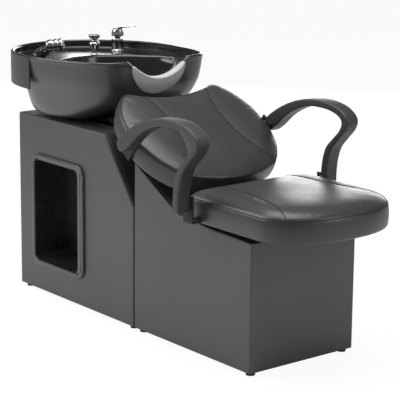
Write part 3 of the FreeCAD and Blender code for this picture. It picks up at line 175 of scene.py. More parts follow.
# Rub marks: slow noise between two roughnesses, with a finer noise on top.
rub_inputs = [("Place", VECTOR, None), ("Scale", FLOAT, 14.0), ("Low", FLOAT, 0.3), ("High", FLOAT, 0.5)]
rub_marks, come, go = effect("rub_marks", rub_inputs, [("Roughness", FLOAT), ("Mask", FLOAT)])
slow = rub_marks.nodes.new("ShaderNodeTexNoise")
slow.inputs["Detail"].default_value = 6
slow.inputs["Roughness"].default_value = 0.62
spread = rub_marks.nodes.new("ShaderNodeMapRange")
spread.inputs["From Min"].default_value = 0.3
spread.inputs["From Max"].default_value = 0.7
rub_marks.links.new(come.outputs["Place"], slow.inputs["Vector"])
rub_marks.links.new(come.outputs["Scale"], slow.inputs["Scale"])
rub_marks.links.new(slow.outputs[0], spread.inputs["Value"])
rub_marks.links.new(come.outputs["Low"], spread.inputs["To Min"])
rub_marks.links.new(come.outputs["High"], spread.inputs["To Max"])
rub_marks.links.new(spread.outputs[0], go.inputs["Roughness"])
rub_marks.links.new(slow.outputs[0], go.inputs["Mask"])

# Pebble grain: rounded cells of two sizes under a slow unevenness, as height.
fine_cells, slow_swell, fine_weight, pebble_weight = 0.47, 0.04, 0.6, 0.5
grain_inputs = [("Place", VECTOR, None), ("Scale", FLOAT, 700.0), ("Unevenness", FLOAT, 0.4)]
pebble_grain, come, go = effect("pebble_grain", grain_inputs, [("Height", FLOAT), ("Mask", FLOAT)])
heights = []
for share in (1.0, fine_cells):
    cells = pebble_grain.nodes.new("ShaderNodeTexVoronoi")
    cells.feature = "SMOOTH_F1"
    pebble_grain.links.new(come.outputs["Place"], cells.inputs["Vector"])
    scaled = sums(pebble_grain, "MULTIPLY", come.outputs["Scale"], share)
    pebble_grain.links.new(scaled, cells.inputs["Scale"])
    heights.append(cells.outputs["Distance"])
wander = pebble_grain.nodes.new("ShaderNodeTexNoise")
wander.inputs["Detail"].default_value = 4
pebble_grain.links.new(come.outputs["Place"], wander.inputs["Vector"])
slower = sums(pebble_grain, "MULTIPLY", come.outputs["Scale"], slow_swell)
pebble_grain.links.new(slower, wander.inputs["Scale"])
pebbles = sums(pebble_grain, "ADD", heights[0], sums(pebble_grain, "MULTIPLY", heights[1], fine_weight))
swell = sums(pebble_grain, "MULTIPLY", wander.outputs[0], come.outputs["Unevenness"])
relief = sums(pebble_grain, "SUBTRACT", swell, sums(pebble_grain, "MULTIPLY", pebbles, pebble_weight))
pebble_grain.links.new(relief, go.inputs["Height"])
pebble_grain.links.new(wander.outputs[0], go.inputs["Mask"])


def finish(name, dark, light, rough, marks=14.0, grain=0.0, unevenness=0.4, bump=0.3, depth=0.0004,
           metal=0.0, coat=0.0):
    """A surface whose colour runs between two tones and whose roughness runs between two values.

    It can have a pebble grain, given by its scale, unevenness, strength and depth in metres.
    """
    made = bpy.data.materials.new(name)
    made.use_nodes = True
    tree = made.node_tree
    shader = tree.nodes["Principled BSDF"]
    shader.inputs["Metallic"].default_value = metal
    shader.inputs["Coat Weight"].default_value = coat
    shader.inputs["Coat Roughness"].default_value = 0.12
    place = tree.nodes.new("ShaderNodeTexCoord").outputs["Object"]
    worn = tree.nodes.new("ShaderNodeGroup")
    worn.node_tree = rub_marks
    worn.inputs["Scale"].default_value = marks
    worn.inputs["Low"].default_value, worn.inputs["High"].default_value = rough
    tree.links.new(place, worn.inputs["Place"])
    tree.links.new(worn.outputs["Roughness"], shader.inputs["Roughness"])
    tones = tree.nodes.new("ShaderNodeMix")
    tones.data_type = "RGBA"
    tones.inputs["A"].default_value = (*dark, 1)
    tones.inputs["B"].default_value = (*light, 1)
    tree.links.new(worn.outputs["Mask"], tones.inputs["Factor"])
    tree.links.new(tones.outputs["Result"], shader.inputs["Base Color"])
    if grain:
        pebbled = tree.nodes.new("ShaderNodeGroup")
        pebbled.node_tree = pebble_grain
        pebbled.inputs["Scale"].default_value = grain
        pebbled.inputs["Unevenness"].default_value = unevenness
        tree.links.new(place, pebbled.inputs["Place"])
        raised = tree.nodes.new("ShaderNodeBump")
        raised.inputs["Strength"].default_value = bump
        raised.inputs["Distance"].default_value = depth
        tree.links.new(pebbled.outputs["Height"], raised.inputs["Height"])
        tree.links.new(raised.outputs[0], shader.inputs["Normal"])
    return made


def dress(material, *nodes):
    """Gives carried-over CAD nodes a finish."""
    for node in nodes:
        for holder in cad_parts[node].material_slots:
            holder.material = material


cabinet_vinyl = finish("cabinet_vinyl", (0.030, 0.030, 0.032), (0.042, 0.042, 0.044), (0.40, 0.50), marks=9,
                       grain=900, bump=0.35)
dress(cabinet_vinyl, "rear_near_panel", "rear_far_panel", "rear_back_panel", "rear_joint_panel",
      "rear_bottom_board", "rear_top_board", "front_near_panel", "front_far_panel", "front_nose_panel",
      "front_back_panel", "front_bottom_board", "front_top_board")
# The sloped boards take a much darker, rougher copy of the cabinets' vinyl, as painted shade.
painted_shade_vinyl = finish("painted_shade_vinyl", (0.004, 0.004, 0.004), (0.007, 0.007, 0.007), (0.6, 0.75), marks=9,
                     grain=900, bump=0.2)
dress(painted_shade_vinyl, "rear_slope_board", "front_slope_board")

# Feet, bumpers, bolts, straps and brackets: moulded rubber, zinc plated steel, and black powder coated steel.
# The arms' brackets are near black as painted shade beside the arms, and the boards and rails under the
# cushions are plywood drawn dark as painted shade under the seat. The deck's nuts are turned brass.
foot_rubber = finish("foot_rubber", (0.012, 0.012, 0.012), (0.024, 0.024, 0.024), (0.7, 0.85), marks=60,
                     grain=1500, bump=0.2)
dress(foot_rubber, "rear_feet", "front_feet", "bowl_rest_pads")
zinc_plate = finish("zinc_plate", (0.52, 0.52, 0.50), (0.68, 0.68, 0.66), (0.25, 0.42), marks=80, metal=1.0)
dress(zinc_plate, "joint_bolts", "arm_bolts")
powder_coat = finish("powder_coat", (0.014, 0.014, 0.014), (0.022, 0.022, 0.022), (0.45, 0.6), marks=30,
                     grain=2400, bump=0.25)
dress(powder_coat, "near_back_strap", "far_back_strap", "bowl_bracket", "bowl_carrier",
      "tilt_nuts", "tilt_pin")
# The arms' brackets are drawn near black and rough, as painted shade where they show beside the arms.
painted_shade_steel = finish("painted_shade_steel", (0.003, 0.003, 0.003), (0.006, 0.006, 0.006), (0.7, 0.85), marks=30)
dress(painted_shade_steel, "near_arm_seat_bracket", "far_arm_seat_bracket", "near_arm_back_bracket",
      "far_arm_back_bracket")
# The boards and rails are drawn nearly black, as painted shade under the cushions.
plywood = finish("plywood", (0.014, 0.013, 0.013), (0.022, 0.021, 0.020), (0.55, 0.7), marks=25)
dress(plywood, "seat_board", "back_board", "near_seat_rail", "far_seat_rail")
brass = finish("brass", (0.60, 0.43, 0.16), (0.72, 0.54, 0.24), (0.25, 0.4), marks=90, metal=1.0)
dress(brass, "deck_nuts")

# Storage tray: a black moulded tub with a satin gloss, pushed into the near side of the rear cabinet.
# Its mouth has a flat rounded frame, whose four corner pieces meet the straight ones at small nicks.
tray_gloss = finish("tray_gloss", (0.010, 0.010, 0.011), (0.016, 0.016, 0.017), (0.22, 0.34), marks=7,
                    coat=0.25)
dress(tray_gloss, "storage_tray")
# The frame is drawn lighter than the tub, as painted highlight on its flat bevel.
frame_highlight_satin = finish("frame_highlight_satin", (0.028, 0.028, 0.030), (0.040, 0.040, 0.042), (0.34, 0.44), marks=7,
                     coat=0.1)


def skin(name, rings, material, loop=False, sharp=None, more=()):
    """A closed surface over closed rings of points, given as an array of ring, point and coordinate.

    The rings join in a loop, or each end closes on its own middle point. Faces are turned outwards by the
    sign of the volume, the sum of a . (b x c) over the faces. More such arrays of rings can join the same
    object, each as a closed surface of its own.
    """
    all_verts, all_faces, first = [], [], 0
    for part in (rings, *more):
        part = np.asarray(part, float)
        count, points = part.shape[:2]
        grid = np.arange(count * points).reshape(count, points)
        low = grid if loop else grid[:-1]
        high = np.roll(grid, -1, axis=0) if loop else grid[1:]
        quads = np.stack([low, np.roll(low, -1, axis=1), np.roll(high, -1, axis=1), high], axis=-1)
        quads = quads.reshape(-1, 4)
        verts = part.reshape(-1, 3)
        pieces = [quads]
        if not loop:
            for end in (0, count - 1):
                hub = np.full(points, len(verts))
                fan = np.stack([grid[end], np.roll(grid[end], -1), hub], axis=-1)
                verts = np.vstack([verts, part[end].mean(axis=0)])
                pieces.append(fan[:, ::-1] if end == 0 else fan)
        a, b, c, d = (verts[quads[:, corner]] for corner in range(4))
        volume = np.sum(a * np.cross(b, c)) + np.sum(a * np.cross(c, d))
        for piece in pieces:
            all_faces += ((piece if volume >= 0 else piece[:, ::-1]) + first).tolist()
        all_verts.append(verts)
        first += len(verts)
    mesh = bpy.data.meshes.new(name)
    mesh.from_pydata(np.vstack(all_verts).tolist(), [], all_faces)
    mesh.materials.append(material)
    mesh.shade_smooth()
    if sharp:
        mesh.set_sharp_from_angle(angle=math.radians(sharp))
    piece = bpy.data.objects.new(name, mesh)
    scene.collection.objects.link(piece)
    return piece


lip_low, lip_high = (np.array(corner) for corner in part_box("tray_lip"))
lip_low += (0, 0, -0.001)
lip_high += (0.021, 0, 0.006)
lip_width, lip_bead, lip_corner, lip_points = 0.014, 0.0055, 0.034, 480
nick_half, nick_depth = 0.0018, 0.0042
bead_shares = np.array([(0.0, 0.0), (0.02, 0.45), (0.10, 0.80), (0.28, 0.97), (0.5, 1.0), (0.72, 0.97),
                        (0.90, 0.80), (0.98, 0.45), (1.0, 0.0)])


def frame_path(inset):
    """Evenly spaced points round the tray's mouth: a rectangle with round corners, drawn in by an inset."""
    radius = lip_corner - inset
    x0, x1 = lip_low[0] + lip_corner, lip_high[0] - lip_corner
    z0, z1 = lip_low[2] + lip_corner, lip_high[2] - lip_corner
    arcs = []
    for x, z, start in ((x1, z0, -90), (x1, z1, 0), (x0, z1, 90), (x0, z0, 180)):
        angle = np.radians(np.linspace(start, start + 90, 24))
        arcs.append(np.stack([x + radius * np.cos(angle), z + radius * np.sin(angle)], axis=-1))
    closed = np.vstack(arcs + [arcs[0][:1]])
    travel = np.concatenate([[0], np.cumsum(np.linalg.norm(np.diff(closed, axis=0), axis=1))])
    even = np.linspace(0, travel[-1], lip_points, endpoint=False)
    return np.stack([np.interp(even, travel, closed[:, i]) for i in (0, 1)], axis=-1)


lip_flat = np.array([frame_path(share * lip_width) for share in bead_shares[:, 0]])
lip_middle = frame_path(lip_width / 2)
nick_places = [(x, z) for x in (lip_low[0] + lip_width / 2, lip_high[0] - lip_width / 2)
               for z in (lip_low[2] + lip_corner, lip_high[2] - lip_corner)]
nick_gap = np.min([np.linalg.norm(lip_middle - place, axis=1) for place in nick_places], axis=0)
nick = np.exp(-(nick_gap / nick_half) ** 2)
lip_y = lip_high[1] + bead_shares[:, 1:] * (nick * nick_depth - lip_bead)
lip_rings = np.stack([lip_flat[..., 0], lip_y, lip_flat[..., 1]], axis=-1)
lip = skin("tray_frame", lip_rings, frame_highlight_satin, loop=True)
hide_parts("tray_lip")
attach(lip, "bed")

# Upholstery: black leather-look vinyl, sewn over foam, with a soft sheen and a small creased grain.
# The seams are sewn with black thread, which lies in a shallow trough with small puckers beside it.
upholstery = finish("upholstery", (0.016, 0.016, 0.017), (0.024, 0.024, 0.026), (0.34, 0.44), marks=12,
                    grain=620, unevenness=1.1, bump=0.24, depth=0.0005)
thread = finish("thread", (0.003, 0.003, 0.003), (0.005, 0.005, 0.005), (0.75, 0.9), marks=60)
thread_radius = 0.0015
cell, blow_frames, blow_limit, seam_hold, rim_hold = 0.005, 20, 0.005, 0.008, 0.004
trough_depth, trough_width = 0.0010, 0.0036
pucker_depth, pucker_width, pucker_pitch, pucker_drift = 0.0005, 0.014, 0.021, 37.0


def through(a, b, c, count):
    """Points along the circle that runs from a through b to c, the last one left out."""
    a, b, c = (np.asarray(point, float) for point in (a, b, c))
    u, v = b - a, c - a
    turn_sense = u[0] * v[1] - u[1] * v[0]
    if abs(turn_sense) < 1e-9:
        return a + np.linspace(0, 1, count, endpoint=False)[:, None] * v
    uu, vv = u @ u, v @ v
    centre = a + np.array([v[1] * uu - u[1] * vv, u[0] * vv - v[0] * uu]) / (2 * turn_sense)
    start, middle, end = (math.atan2(*(point - centre)[::-1]) for point in (a, b, c))
    sweep = (end - start) % (2 * math.pi)
    if (middle - start) % (2 * math.pi) > sweep:
        sweep -= 2 * math.pi
    angle = start + np.linspace(0, 1, count, endpoint=False) * sweep
    return centre + np.linalg.norm(a - centre) * np.stack([np.cos(angle), np.sin(angle)], axis=-1)


def blow_up(piece, before, held_share):
    """The cushion's points after its cover is blown up as cloth, each held by its share.

    A point moves along its push by limit * tanh(push / limit).
    """
    held = piece.vertex_groups.new(name="sewn")
    steps = np.round(held_share * blow_frames)
    for step in range(1, blow_frames + 1):
        held.add(np.nonzero(steps == step)[0].tolist(), step / blow_frames, "REPLACE")
    cloth = piece.modifiers.new("stuffing", "CLOTH")
    cloth.settings.quality = 4
    cloth.settings.mass = 0.3
    cloth.settings.tension_stiffness = 18
    cloth.settings.compression_stiffness = 18
    cloth.settings.shear_stiffness = 8
    cloth.settings.bending_stiffness = 0.6
    cloth.settings.use_pressure = True
    cloth.settings.uniform_pressure_force = 4.0
    cloth.settings.effector_weights.gravity = 0.0
    cloth.settings.vertex_group_mass = "sewn"
    cloth.collision_settings.use_collision = False
    cloth.point_cache.frame_start, cloth.point_cache.frame_end = 1, blow_frames
    for moment in range(1, blow_frames + 1):
        scene.frame_set(moment)
    blown = piece.evaluated_get(bpy.context.evaluated_depsgraph_get()).to_mesh()
    after = np.empty(len(blown.vertices) * 3)
    blown.vertices.foreach_get("co", after)
    piece.evaluated_get(bpy.context.evaluated_depsgraph_get()).to_mesh_clear()
    piece.modifiers.clear()
    piece.vertex_groups.clear()
    scene.frame_set(1)
    push = after.reshape(-1, 3) - before
    reach = np.linalg.norm(push, axis=1, keepdims=True)
    return before + push / np.maximum(reach, 1e-9) * blow_limit * np.tanh(reach / blow_limit)


def stitch(line, surface, normals, under, to_world):
    """A thread along a seam: circles of the thread's radius about the seam's points, laid on the surface."""
    up_way = normals[under]
    middle = line + up_way * np.sum((surface[under] - line) * up_way, axis=1, keepdims=True)
    onward = np.gradient(middle, axis=0)
    side_way = np.cross(onward / np.linalg.norm(onward, axis=1, keepdims=True), up_way)
    angle = np.linspace(0, 2 * math.pi, 10, endpoint=False)[:, None]
    circle = np.cos(angle) * side_way[:, None] + np.sin(angle) * up_way[:, None]
    return (middle[:, None] + thread_radius * circle) @ to_world[:3, :3].T + to_world[:3, 3]


def cushion(name, ring, levels, to_world, seams):
    """A sewn foam cushion. Rings of its outline, drawn in by an inset at each level, are skinned, meshed
    anew into even cells, blown up a little as cloth, and then drawn in along every seam by
    depth * exp(-(distance / width) ** 2), with a wave of puckers along it."""
    flat = np.array([np.insert(ring(inset), 2, level, axis=1) for inset, level in levels])
    shell = skin(name + "_shell", flat, upholstery)
    grid_mesh = shell.modifiers.new("cells", "REMESH")
    grid_mesh.mode = "VOXEL"
    grid_mesh.voxel_size = cell
    even = shell.modifiers.new("even", "SMOOTH")
    even.factor = 0.5
    even.iterations = 4
    mesh = bpy.data.meshes.new_from_object(shell.evaluated_get(bpy.context.evaluated_depsgraph_get()))
    bpy.data.objects.remove(shell)
    mesh.name = name
    piece = bpy.data.objects.new(name, mesh)
    scene.collection.objects.link(piece)
    before = np.empty(len(mesh.vertices) * 3)
    mesh.vertices.foreach_get("co", before)
    before = before.reshape(-1, 3)
    parts = np.array_split(before, 24)
    gaps = [np.vstack([np.linalg.norm(part[:, None] - line, axis=2) for part in parts]) for line in seams]
    near = [gap.min(axis=1) for gap in gaps]
    after = before.copy()
    held_share = np.exp(-(np.min(near, axis=0) / seam_hold) ** 2)
    held_share[before[:, 2] < levels[0][1] + rim_hold] = 1.0
    after = blow_up(piece, before, held_share)
    normals = np.empty(len(mesh.vertices) * 3)
    mesh.vertices.foreach_get("normal", normals)
    normals = normals.reshape(-1, 3)
    for line, gap, distance in zip(seams, gaps, near):
        travel = np.concatenate([[0], np.cumsum(np.linalg.norm(np.diff(line, axis=0), axis=1))])
        spot = travel[gap.argmin(axis=1)]
        pucker = 0.5 + 0.5 * np.sin(spot * 2 * math.pi / pucker_pitch + 1.3 * np.sin(spot * pucker_drift))
        sunk = (trough_depth * np.exp(-(distance / trough_width) ** 2)
                + pucker_depth * pucker * np.exp(-(distance / pucker_width) ** 2))
        after -= normals * sunk[:, None]
    threads = [stitch(line, after, normals, gap.argmin(axis=0), to_world) for line, gap in zip(seams, gaps)]
    sewing = skin(name + "_seams", threads[0], thread, more=threads[1:])
    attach(sewing, "bed")
    world_points = after @ to_world[:3, :3].T + to_world[:3, 3]
    mesh.vertices.foreach_set("co", world_points.ravel())
    mesh.update()
    if not mesh.materials:
        mesh.materials.append(upholstery)
    mesh.shade_smooth()
    finer = piece.modifiers.new("finer", "SUBSURF")
    finer.levels = finer.render_levels = 1
    return piece


# Seat cushion: foam under a sewn cover. A middle panel and two side wings meet at long seams,
# and a band runs round the side below the top's edge seam and hangs a little below the board.
seat_back_x, seat_tip_x, seat_half, seat_corner = 0.298, 0.732, 0.218, 0.014
seat_low, seat_hang, seat_edge, seat_crown = 0.4023, 0.011, 0.457, 0.027
seat_front, seat_power = 0.145, 2.3
band_bulge, crown_run = 0.003, 0.019


def seat_ring(inset):
    """The seat's outline: straight back and sides, small rear corners, and a full round front.

    The front is the superellipse |ahead| ** power + |across| ** power = 1.
    """
    half, back = seat_half - inset, seat_back_x + inset
    side_end = seat_tip_x - seat_front
    k = seat_corner * (1 - math.sqrt(0.5))
    turned = np.linspace(0, math.pi / 2, 48)
    front = np.column_stack([side_end + (seat_front - inset) * np.sin(turned) ** (2 / seat_power),
                             half * np.cos(turned) ** (2 / seat_power)])
    corner_y, corner_x = half - seat_corner, back + seat_corner
    side = np.vstack([through((back, 0), (back, corner_y / 2), (back, corner_y), 20),
                      through((back, corner_y), (back + k, half - k), (corner_x, half), 12),
                      through((corner_x, half), ((back + side_end) / 2, half), (side_end, half), 40), front])
    return np.vstack([side, side[1:-1][::-1] * (1, -1)])


def soft_levels(low, edge, crown, hang=0.0):
    """Inset and height of each ring: a band bulging by sin ** 0.7, then a crown as 1 - exp(-inset / run)."""
    under_inset, board_inset, hem_inset, hem_round, crown_depth = 0.055, 0.02, 0.014, 0.003, 0.11
    foot = low - hang
    levels = [(under_inset, low), (board_inset, low), (hem_inset, foot), (band_bulge + hem_round, foot)]
    levels += [(band_bulge * (1 - math.sin(math.pi * share) ** 0.7), foot + share * (edge - foot))
               for share in np.linspace(0.04, 1.0, 14)]
    levels += [(band_bulge + inset, edge + crown * (1 - math.exp(-inset / crown_run)))
               for inset in np.linspace(0.0, 1.0, 22)[1:] ** 1.7 * crown_depth]
    return levels


def over_crown(ring, flat, edge, crown):
    """Points of the outline's plane, raised by edge + crown * (1 - exp(-distance to the edge / run))."""
    gap = np.min(np.linalg.norm(flat[:, None] - ring(band_bulge)[None], axis=2), axis=1)
    return np.column_stack([flat, edge + crown * (1 - np.exp(-gap / crown_run))])


def edge_seam(ring, edge):
    """The seam that joins the top panels to the band, all round the edge."""
    border = ring(band_bulge)
    border = np.vstack([border, border[:1]])
    return np.column_stack([border, np.full(len(border), edge)])


seat_wing = np.array([(0.298, 0.128), (0.53, 0.142), (0.668, 0.184)])
seat_seams = [over_crown(seat_ring, through(*(seat_wing * (1, side)), 160), seat_edge, seat_crown)
              for side in (-1, 1)]
seat_seams.append(edge_seam(seat_ring, seat_edge))
seat = cushion("seat_pad", seat_ring, soft_levels(seat_low, seat_edge, seat_crown, seat_hang), np.eye(4),
               seat_seams)
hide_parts("seat_cushion")
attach(seat, "bed")

# Back cushion: the same cover over foam, leaned back to 33 degrees from level.
# Its top is hollowed for the neck, and a wing of the cover is let in on each side.
back_half, back_tall, back_dip, back_band, back_crown = 0.241, 0.374, 0.034, 0.062, 0.014
back_low_share, back_sag_share = 0.052, -0.044
back_shares = [(0.69, back_low_share), (0.915, 0.25), (1, 0.54), (0.94, 0.78), (0.79, 0.935), (0.73, 0.976),
               (0.635, 0.99)]


def back_ring(inset):
    """The back seen square on, as circles through the shares of its half width and height."""
    wide, middle = back_half - inset, back_tall / 2

    def tall(share):
        return middle + (share - 0.5) * 2 * (middle - inset)

    p = [np.array([x * wide, tall(y)]) for x, y in back_shares]
    mirrored = np.array([-1, 1])
    side = np.vstack([through(p[0] * mirrored, (0, tall(back_sag_share)), p[0], 72)[36:],
                      through(p[0], p[1], p[2], 34), through(p[2], p[3], p[4], 28),
                      through(p[4], p[5], p[6], 10),
                      through(p[6], (0, tall(1) - back_dip), p[6] * mirrored, 60)[:31]])
    return np.vstack([side, side[1:-1][::-1] * mirrored])


lean, back_at = math.radians(32.8), (0.2525, 0, 0.4845)
leaned = np.eye(4)
leaned[:3, :3] = np.column_stack([(0, 1, 0), (-math.cos(lean), 0, math.sin(lean)),
                                  (math.sin(lean), 0, math.cos(lean))])
leaned[:3, 3] = back_at
back_wing = np.array([(0.53, 0.975), (0.38, 0.60), (0.675, 0.075)]) * (back_half, back_tall)
back_seams = [over_crown(back_ring, through(*(back_wing * (side, 1)), 160), 0.0, back_crown)
              for side in (-1, 1)]
back_seams.append(edge_seam(back_ring, 0.0))
back = cushion("back_pad", back_ring, soft_levels(-back_band, 0.0, back_crown), leaned, back_seams)
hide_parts("back_cushion")
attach(back, "bed")

# Armrests: black self-skinned foam moulded over a hidden core, with a matt fine grained skin.
# Each is a loop whose rear foot bolts to the back and whose front foot bolts to the seat.
arm_foam = finish("arm_foam", (0.016, 0.016, 0.016), (0.023, 0.023, 0.024), (0.46, 0.58), marks=18,
                  grain=1500, bump=0.22)
arm_at, arm_size = (0.093, 0.458), (0.252, 0.221)
arm_y, arm_half, arm_power, stations, tip_rings, tip_round = 0.2695, 0.0222, 7, 220, 5, 0.004
arm_top_shares = [(-0.050, 0.576), (0.024, 0.665), (0.225, 0.808), (0.476, 0.928), (0.726, 0.988),
                  (0.967, 1.0), (1.175, 0.962), (1.306, 0.890), (1.371, 0.795), (1.341, 0.679),
                  (1.230, 0.541), (1.126, 0.407), (1.075, 0.258), (1.054, 0.107), (1.047, -0.112)]
arm_under_shares = [(-0.036, 0.471), (0.024, 0.443), (0.138, 0.515), (0.327, 0.696), (0.515, 0.814),
                    (0.726, 0.891), (0.967, 0.900), (1.139, 0.869), (1.242, 0.810), (1.262, 0.733),
                    (1.213, 0.632), (1.118, 0.524), (1.024, 0.407), (0.975, 0.258), (0.952, 0.068),
                    (0.948, -0.130)]


def smooth_path(points, count, closed=False):
    """Evenly spaced points on the Catmull-Rom curve through the given ones: in each span the cubic that
    passes its two ends with slopes of half the way between their neighbours."""
    points = np.asarray(points, float)
    if closed:
        ring = np.vstack([points[-1:], points, points[:2]])
    else:
        ring = np.vstack([2 * points[0] - points[1], points, 2 * points[-1] - points[-2]])
    p0, p1, p2, p3 = (ring[i:len(ring) - 3 + i, None] for i in range(4))
    t = np.linspace(0, 1, 40, endpoint=False)[:, None]
    spans = 0.5 * (2 * p1 + (p2 - p0) * t + (2 * p0 - 5 * p1 + 4 * p2 - p3) * t ** 2
                   + (3 * p1 - p0 - 3 * p2 + p3) * t ** 3)
    line = np.vstack([spans.reshape(-1, 2), points[:1] if closed else points[-1:]])
    travel = np.concatenate([[0], np.cumsum(np.linalg.norm(np.diff(line, axis=0), axis=1))])
    even = np.linspace(0, travel[-1], count, endpoint=not closed)
    return np.stack([np.interp(even, travel, line[:, i]) for i in (0, 1)], axis=-1)


def bent(angle, share):
    """Cosine and sine with their sizes raised to a power, which squares off a circle."""
    cosine, sine = np.cos(angle), np.sin(angle)
    return np.sign(cosine) * np.abs(cosine) ** share, np.sign(sine) * np.abs(sine) ** share


arm_top, arm_under = (smooth_path(np.array(shares) * arm_size + arm_at, stations)
                      for shares in (arm_top_shares, arm_under_shares))
# Each section is a superellipse, |across| ** power + |thick| ** power = 1, and shrinks to a rounded tip.
across_share, thick_share = bent(np.linspace(0, 2 * math.pi, 64, endpoint=False), 2 / arm_power)
along = np.concatenate([np.zeros(tip_rings, int), np.arange(stations), np.full(tip_rings, stations - 1)])
tip_shrink = np.sin(np.linspace(0.25, 1.45, tip_rings))
shrink = np.concatenate([tip_shrink, np.ones(stations), tip_shrink[::-1]])
fullness = (0.62 + 0.38 * shrink)[:, None]
onward, behind = np.minimum(along + 1, stations - 1), np.maximum(along - 1, 0)
lead = arm_top[onward] - arm_top[behind] + arm_under[onward] - arm_under[behind]
lead /= np.linalg.norm(lead, axis=1, keepdims=True)
outward = np.where(np.arange(len(along)) < stations / 2, -1, 1)
arm_middle = (arm_top[along] + arm_under[along]) / 2 + lead * (tip_round * (1 - shrink) * outward)[:, None]
arm_thick = (arm_top[along] - arm_under[along]) / 2 * fullness
arm_xz = arm_middle[:, None] + thick_share[:, None] * arm_thick[:, None]
for side, label in ((-1, "near_armrest"), (1, "far_armrest")):
    arm_across = side * arm_y + across_share * arm_half * fullness
    rings = np.stack([arm_xz[..., 0], arm_across, arm_xz[..., 1]], axis=-1)
    rest = skin(label + "_loop", rings, arm_foam)
    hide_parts(label)
    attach(rest, "bed")

# Bolt caps: small black plastic domes that are pushed over the heads of the armrests' bolts.
# Each armrest has one at its seat foot and one at its back foot.
cap_plastic = finish("cap_plastic", (0.012, 0.012, 0.013), (0.020, 0.020, 0.021), (0.30, 0.42), marks=40,
                     coat=0.1)
cap_y, cap_places = 0.2905, ((0.345, 0.458), (0.093, 0.581))
cap_dome = [(0.0065, -0.003), (0.0072, -0.0004), (0.0070, 0.0006), (0.0060, 0.0018), (0.0042, 0.0026),
            (0.0020, 0.0030)]


def lathe(profile, axis=(0, 0, 1), at=(0, 0, 0), count=96):
    """Rings of a turned piece: each profile point of radius and height gives a circle about the axis."""
    profile = np.asarray(profile, float)[:, :, None, None]
    axis = np.asarray(axis, float) / np.linalg.norm(axis)
    side_a = np.cross(axis, (0, 1, 0) if abs(axis[1]) < 0.9 else (1, 0, 0))
    side_a /= np.linalg.norm(side_a)
    angle = np.linspace(0, 2 * math.pi, count, endpoint=False)[:, None]
    circle = np.cos(angle) * side_a + np.sin(angle) * np.cross(axis, side_a)
    return np.asarray(at, float) + profile[:, 0] * circle + profile[:, 1] * axis


domes = [lathe(cap_dome, (0, side, 0), (x, side * cap_y, z), 40) for side in (-1, 1) for x, z in cap_places]
caps = skin("bolt_caps", domes[0], cap_plastic, more=domes[1:])
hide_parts("arm_bolt_caps")
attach(caps, "bed")

# Bowl: one moulding of thick black plastic. Its wall rises from a level floor and widens to a rolled rim
# that climbs a little to the front, and dips there for the neck. A deck behind carries the fittings.
# The outside keeps the mould's satin and the inside is polished; the inside's darker tone is painted shade.
bowl_satin = finish("bowl_satin", (0.016, 0.016, 0.017), (0.024, 0.024, 0.025), (0.36, 0.46), marks=5,
                    coat=0.12)
# The inside is drawn about half as light as the outside, as painted shade.
shaded_bowl_gloss = finish("shaded_bowl_gloss", (0.007, 0.007, 0.0075), (0.011, 0.011, 0.0115), (0.15, 0.21), marks=5)
bowl_x, bowl_half_length, bowl_half_width = -0.418, 0.311, 0.255
floor_z, bowl_rise, bowl_wall, deck_z, drain_x, drain_bore = 0.568, 0.184, 0.006, 0.729, -0.361, 0.024
rim_back, rim_back_z, rim_climb = -0.729, 0.752, 0.016 / 0.622
bead, swell_out, swell_run = 0.0055, 0.002, 0.006
notch_radius, notch_z, notch_from_x, notch_blend = 0.1321, 0.8441, -0.263, 0.014
oval_shares = [(1.0, 0.0), (0.995, 0.30), (0.985, 0.55), (0.90, 0.745), (0.70, 0.868), (0.42, 0.940),
               (0.05, 0.995), (-0.22, 0.975), (-0.47, 0.880), (-0.70, 0.700), (-0.87, 0.475), (-0.97, 0.230),
               (-1.0, 0.0)]
unit_oval = smooth_path(oval_shares + [(x, -y) for x, y in oval_shares[-2:0:-1]], 1440, closed=True)
bearings = np.linspace(-math.pi, math.pi, 400, endpoint=False)
toward = np.column_stack([np.cos(bearings), np.sin(bearings)])


def reach(back, front, wide):
    """How far an oval with its own length behind and ahead of the middle lies from the drain, by bearing."""
    x = bowl_x + unit_oval[:, 0] * np.where(unit_oval[:, 0] < 0, back, front) - drain_x
    y = unit_oval[:, 1] * wide
    angle = np.arctan2(y, x)
    order = np.argsort(angle)
    return np.interp(bearings, angle[order], np.hypot(x, y)[order], period=2 * math.pi)


def between(x, xs, ys):
    """A smooth curve through points: a cubic in each span, whose slopes at the points never overshoot."""
    xs, ys = np.asarray(xs, float), np.asarray(ys, float)
    rise = np.diff(ys) / np.diff(xs)
    product = rise[:-1] * rise[1:]
    middle = np.where(product > 0, 2 * product / (rise[:-1] + rise[1:] + 1e-12), 0)
    slope = np.concatenate([[rise[0]], middle, [rise[-1]]])
    i = np.clip(np.searchsorted(xs, x) - 1, 0, len(xs) - 2)
    h = xs[i + 1] - xs[i]
    t = np.clip((x - xs[i]) / h, 0, 1)
    return ((2 * t ** 3 - 3 * t ** 2 + 1) * ys[i] + (t ** 3 - 2 * t ** 2 + t) * h * slope[i]
            + (3 * t ** 2 - 2 * t ** 3) * ys[i + 1] + (t ** 3 - t ** 2) * h * slope[i + 1])


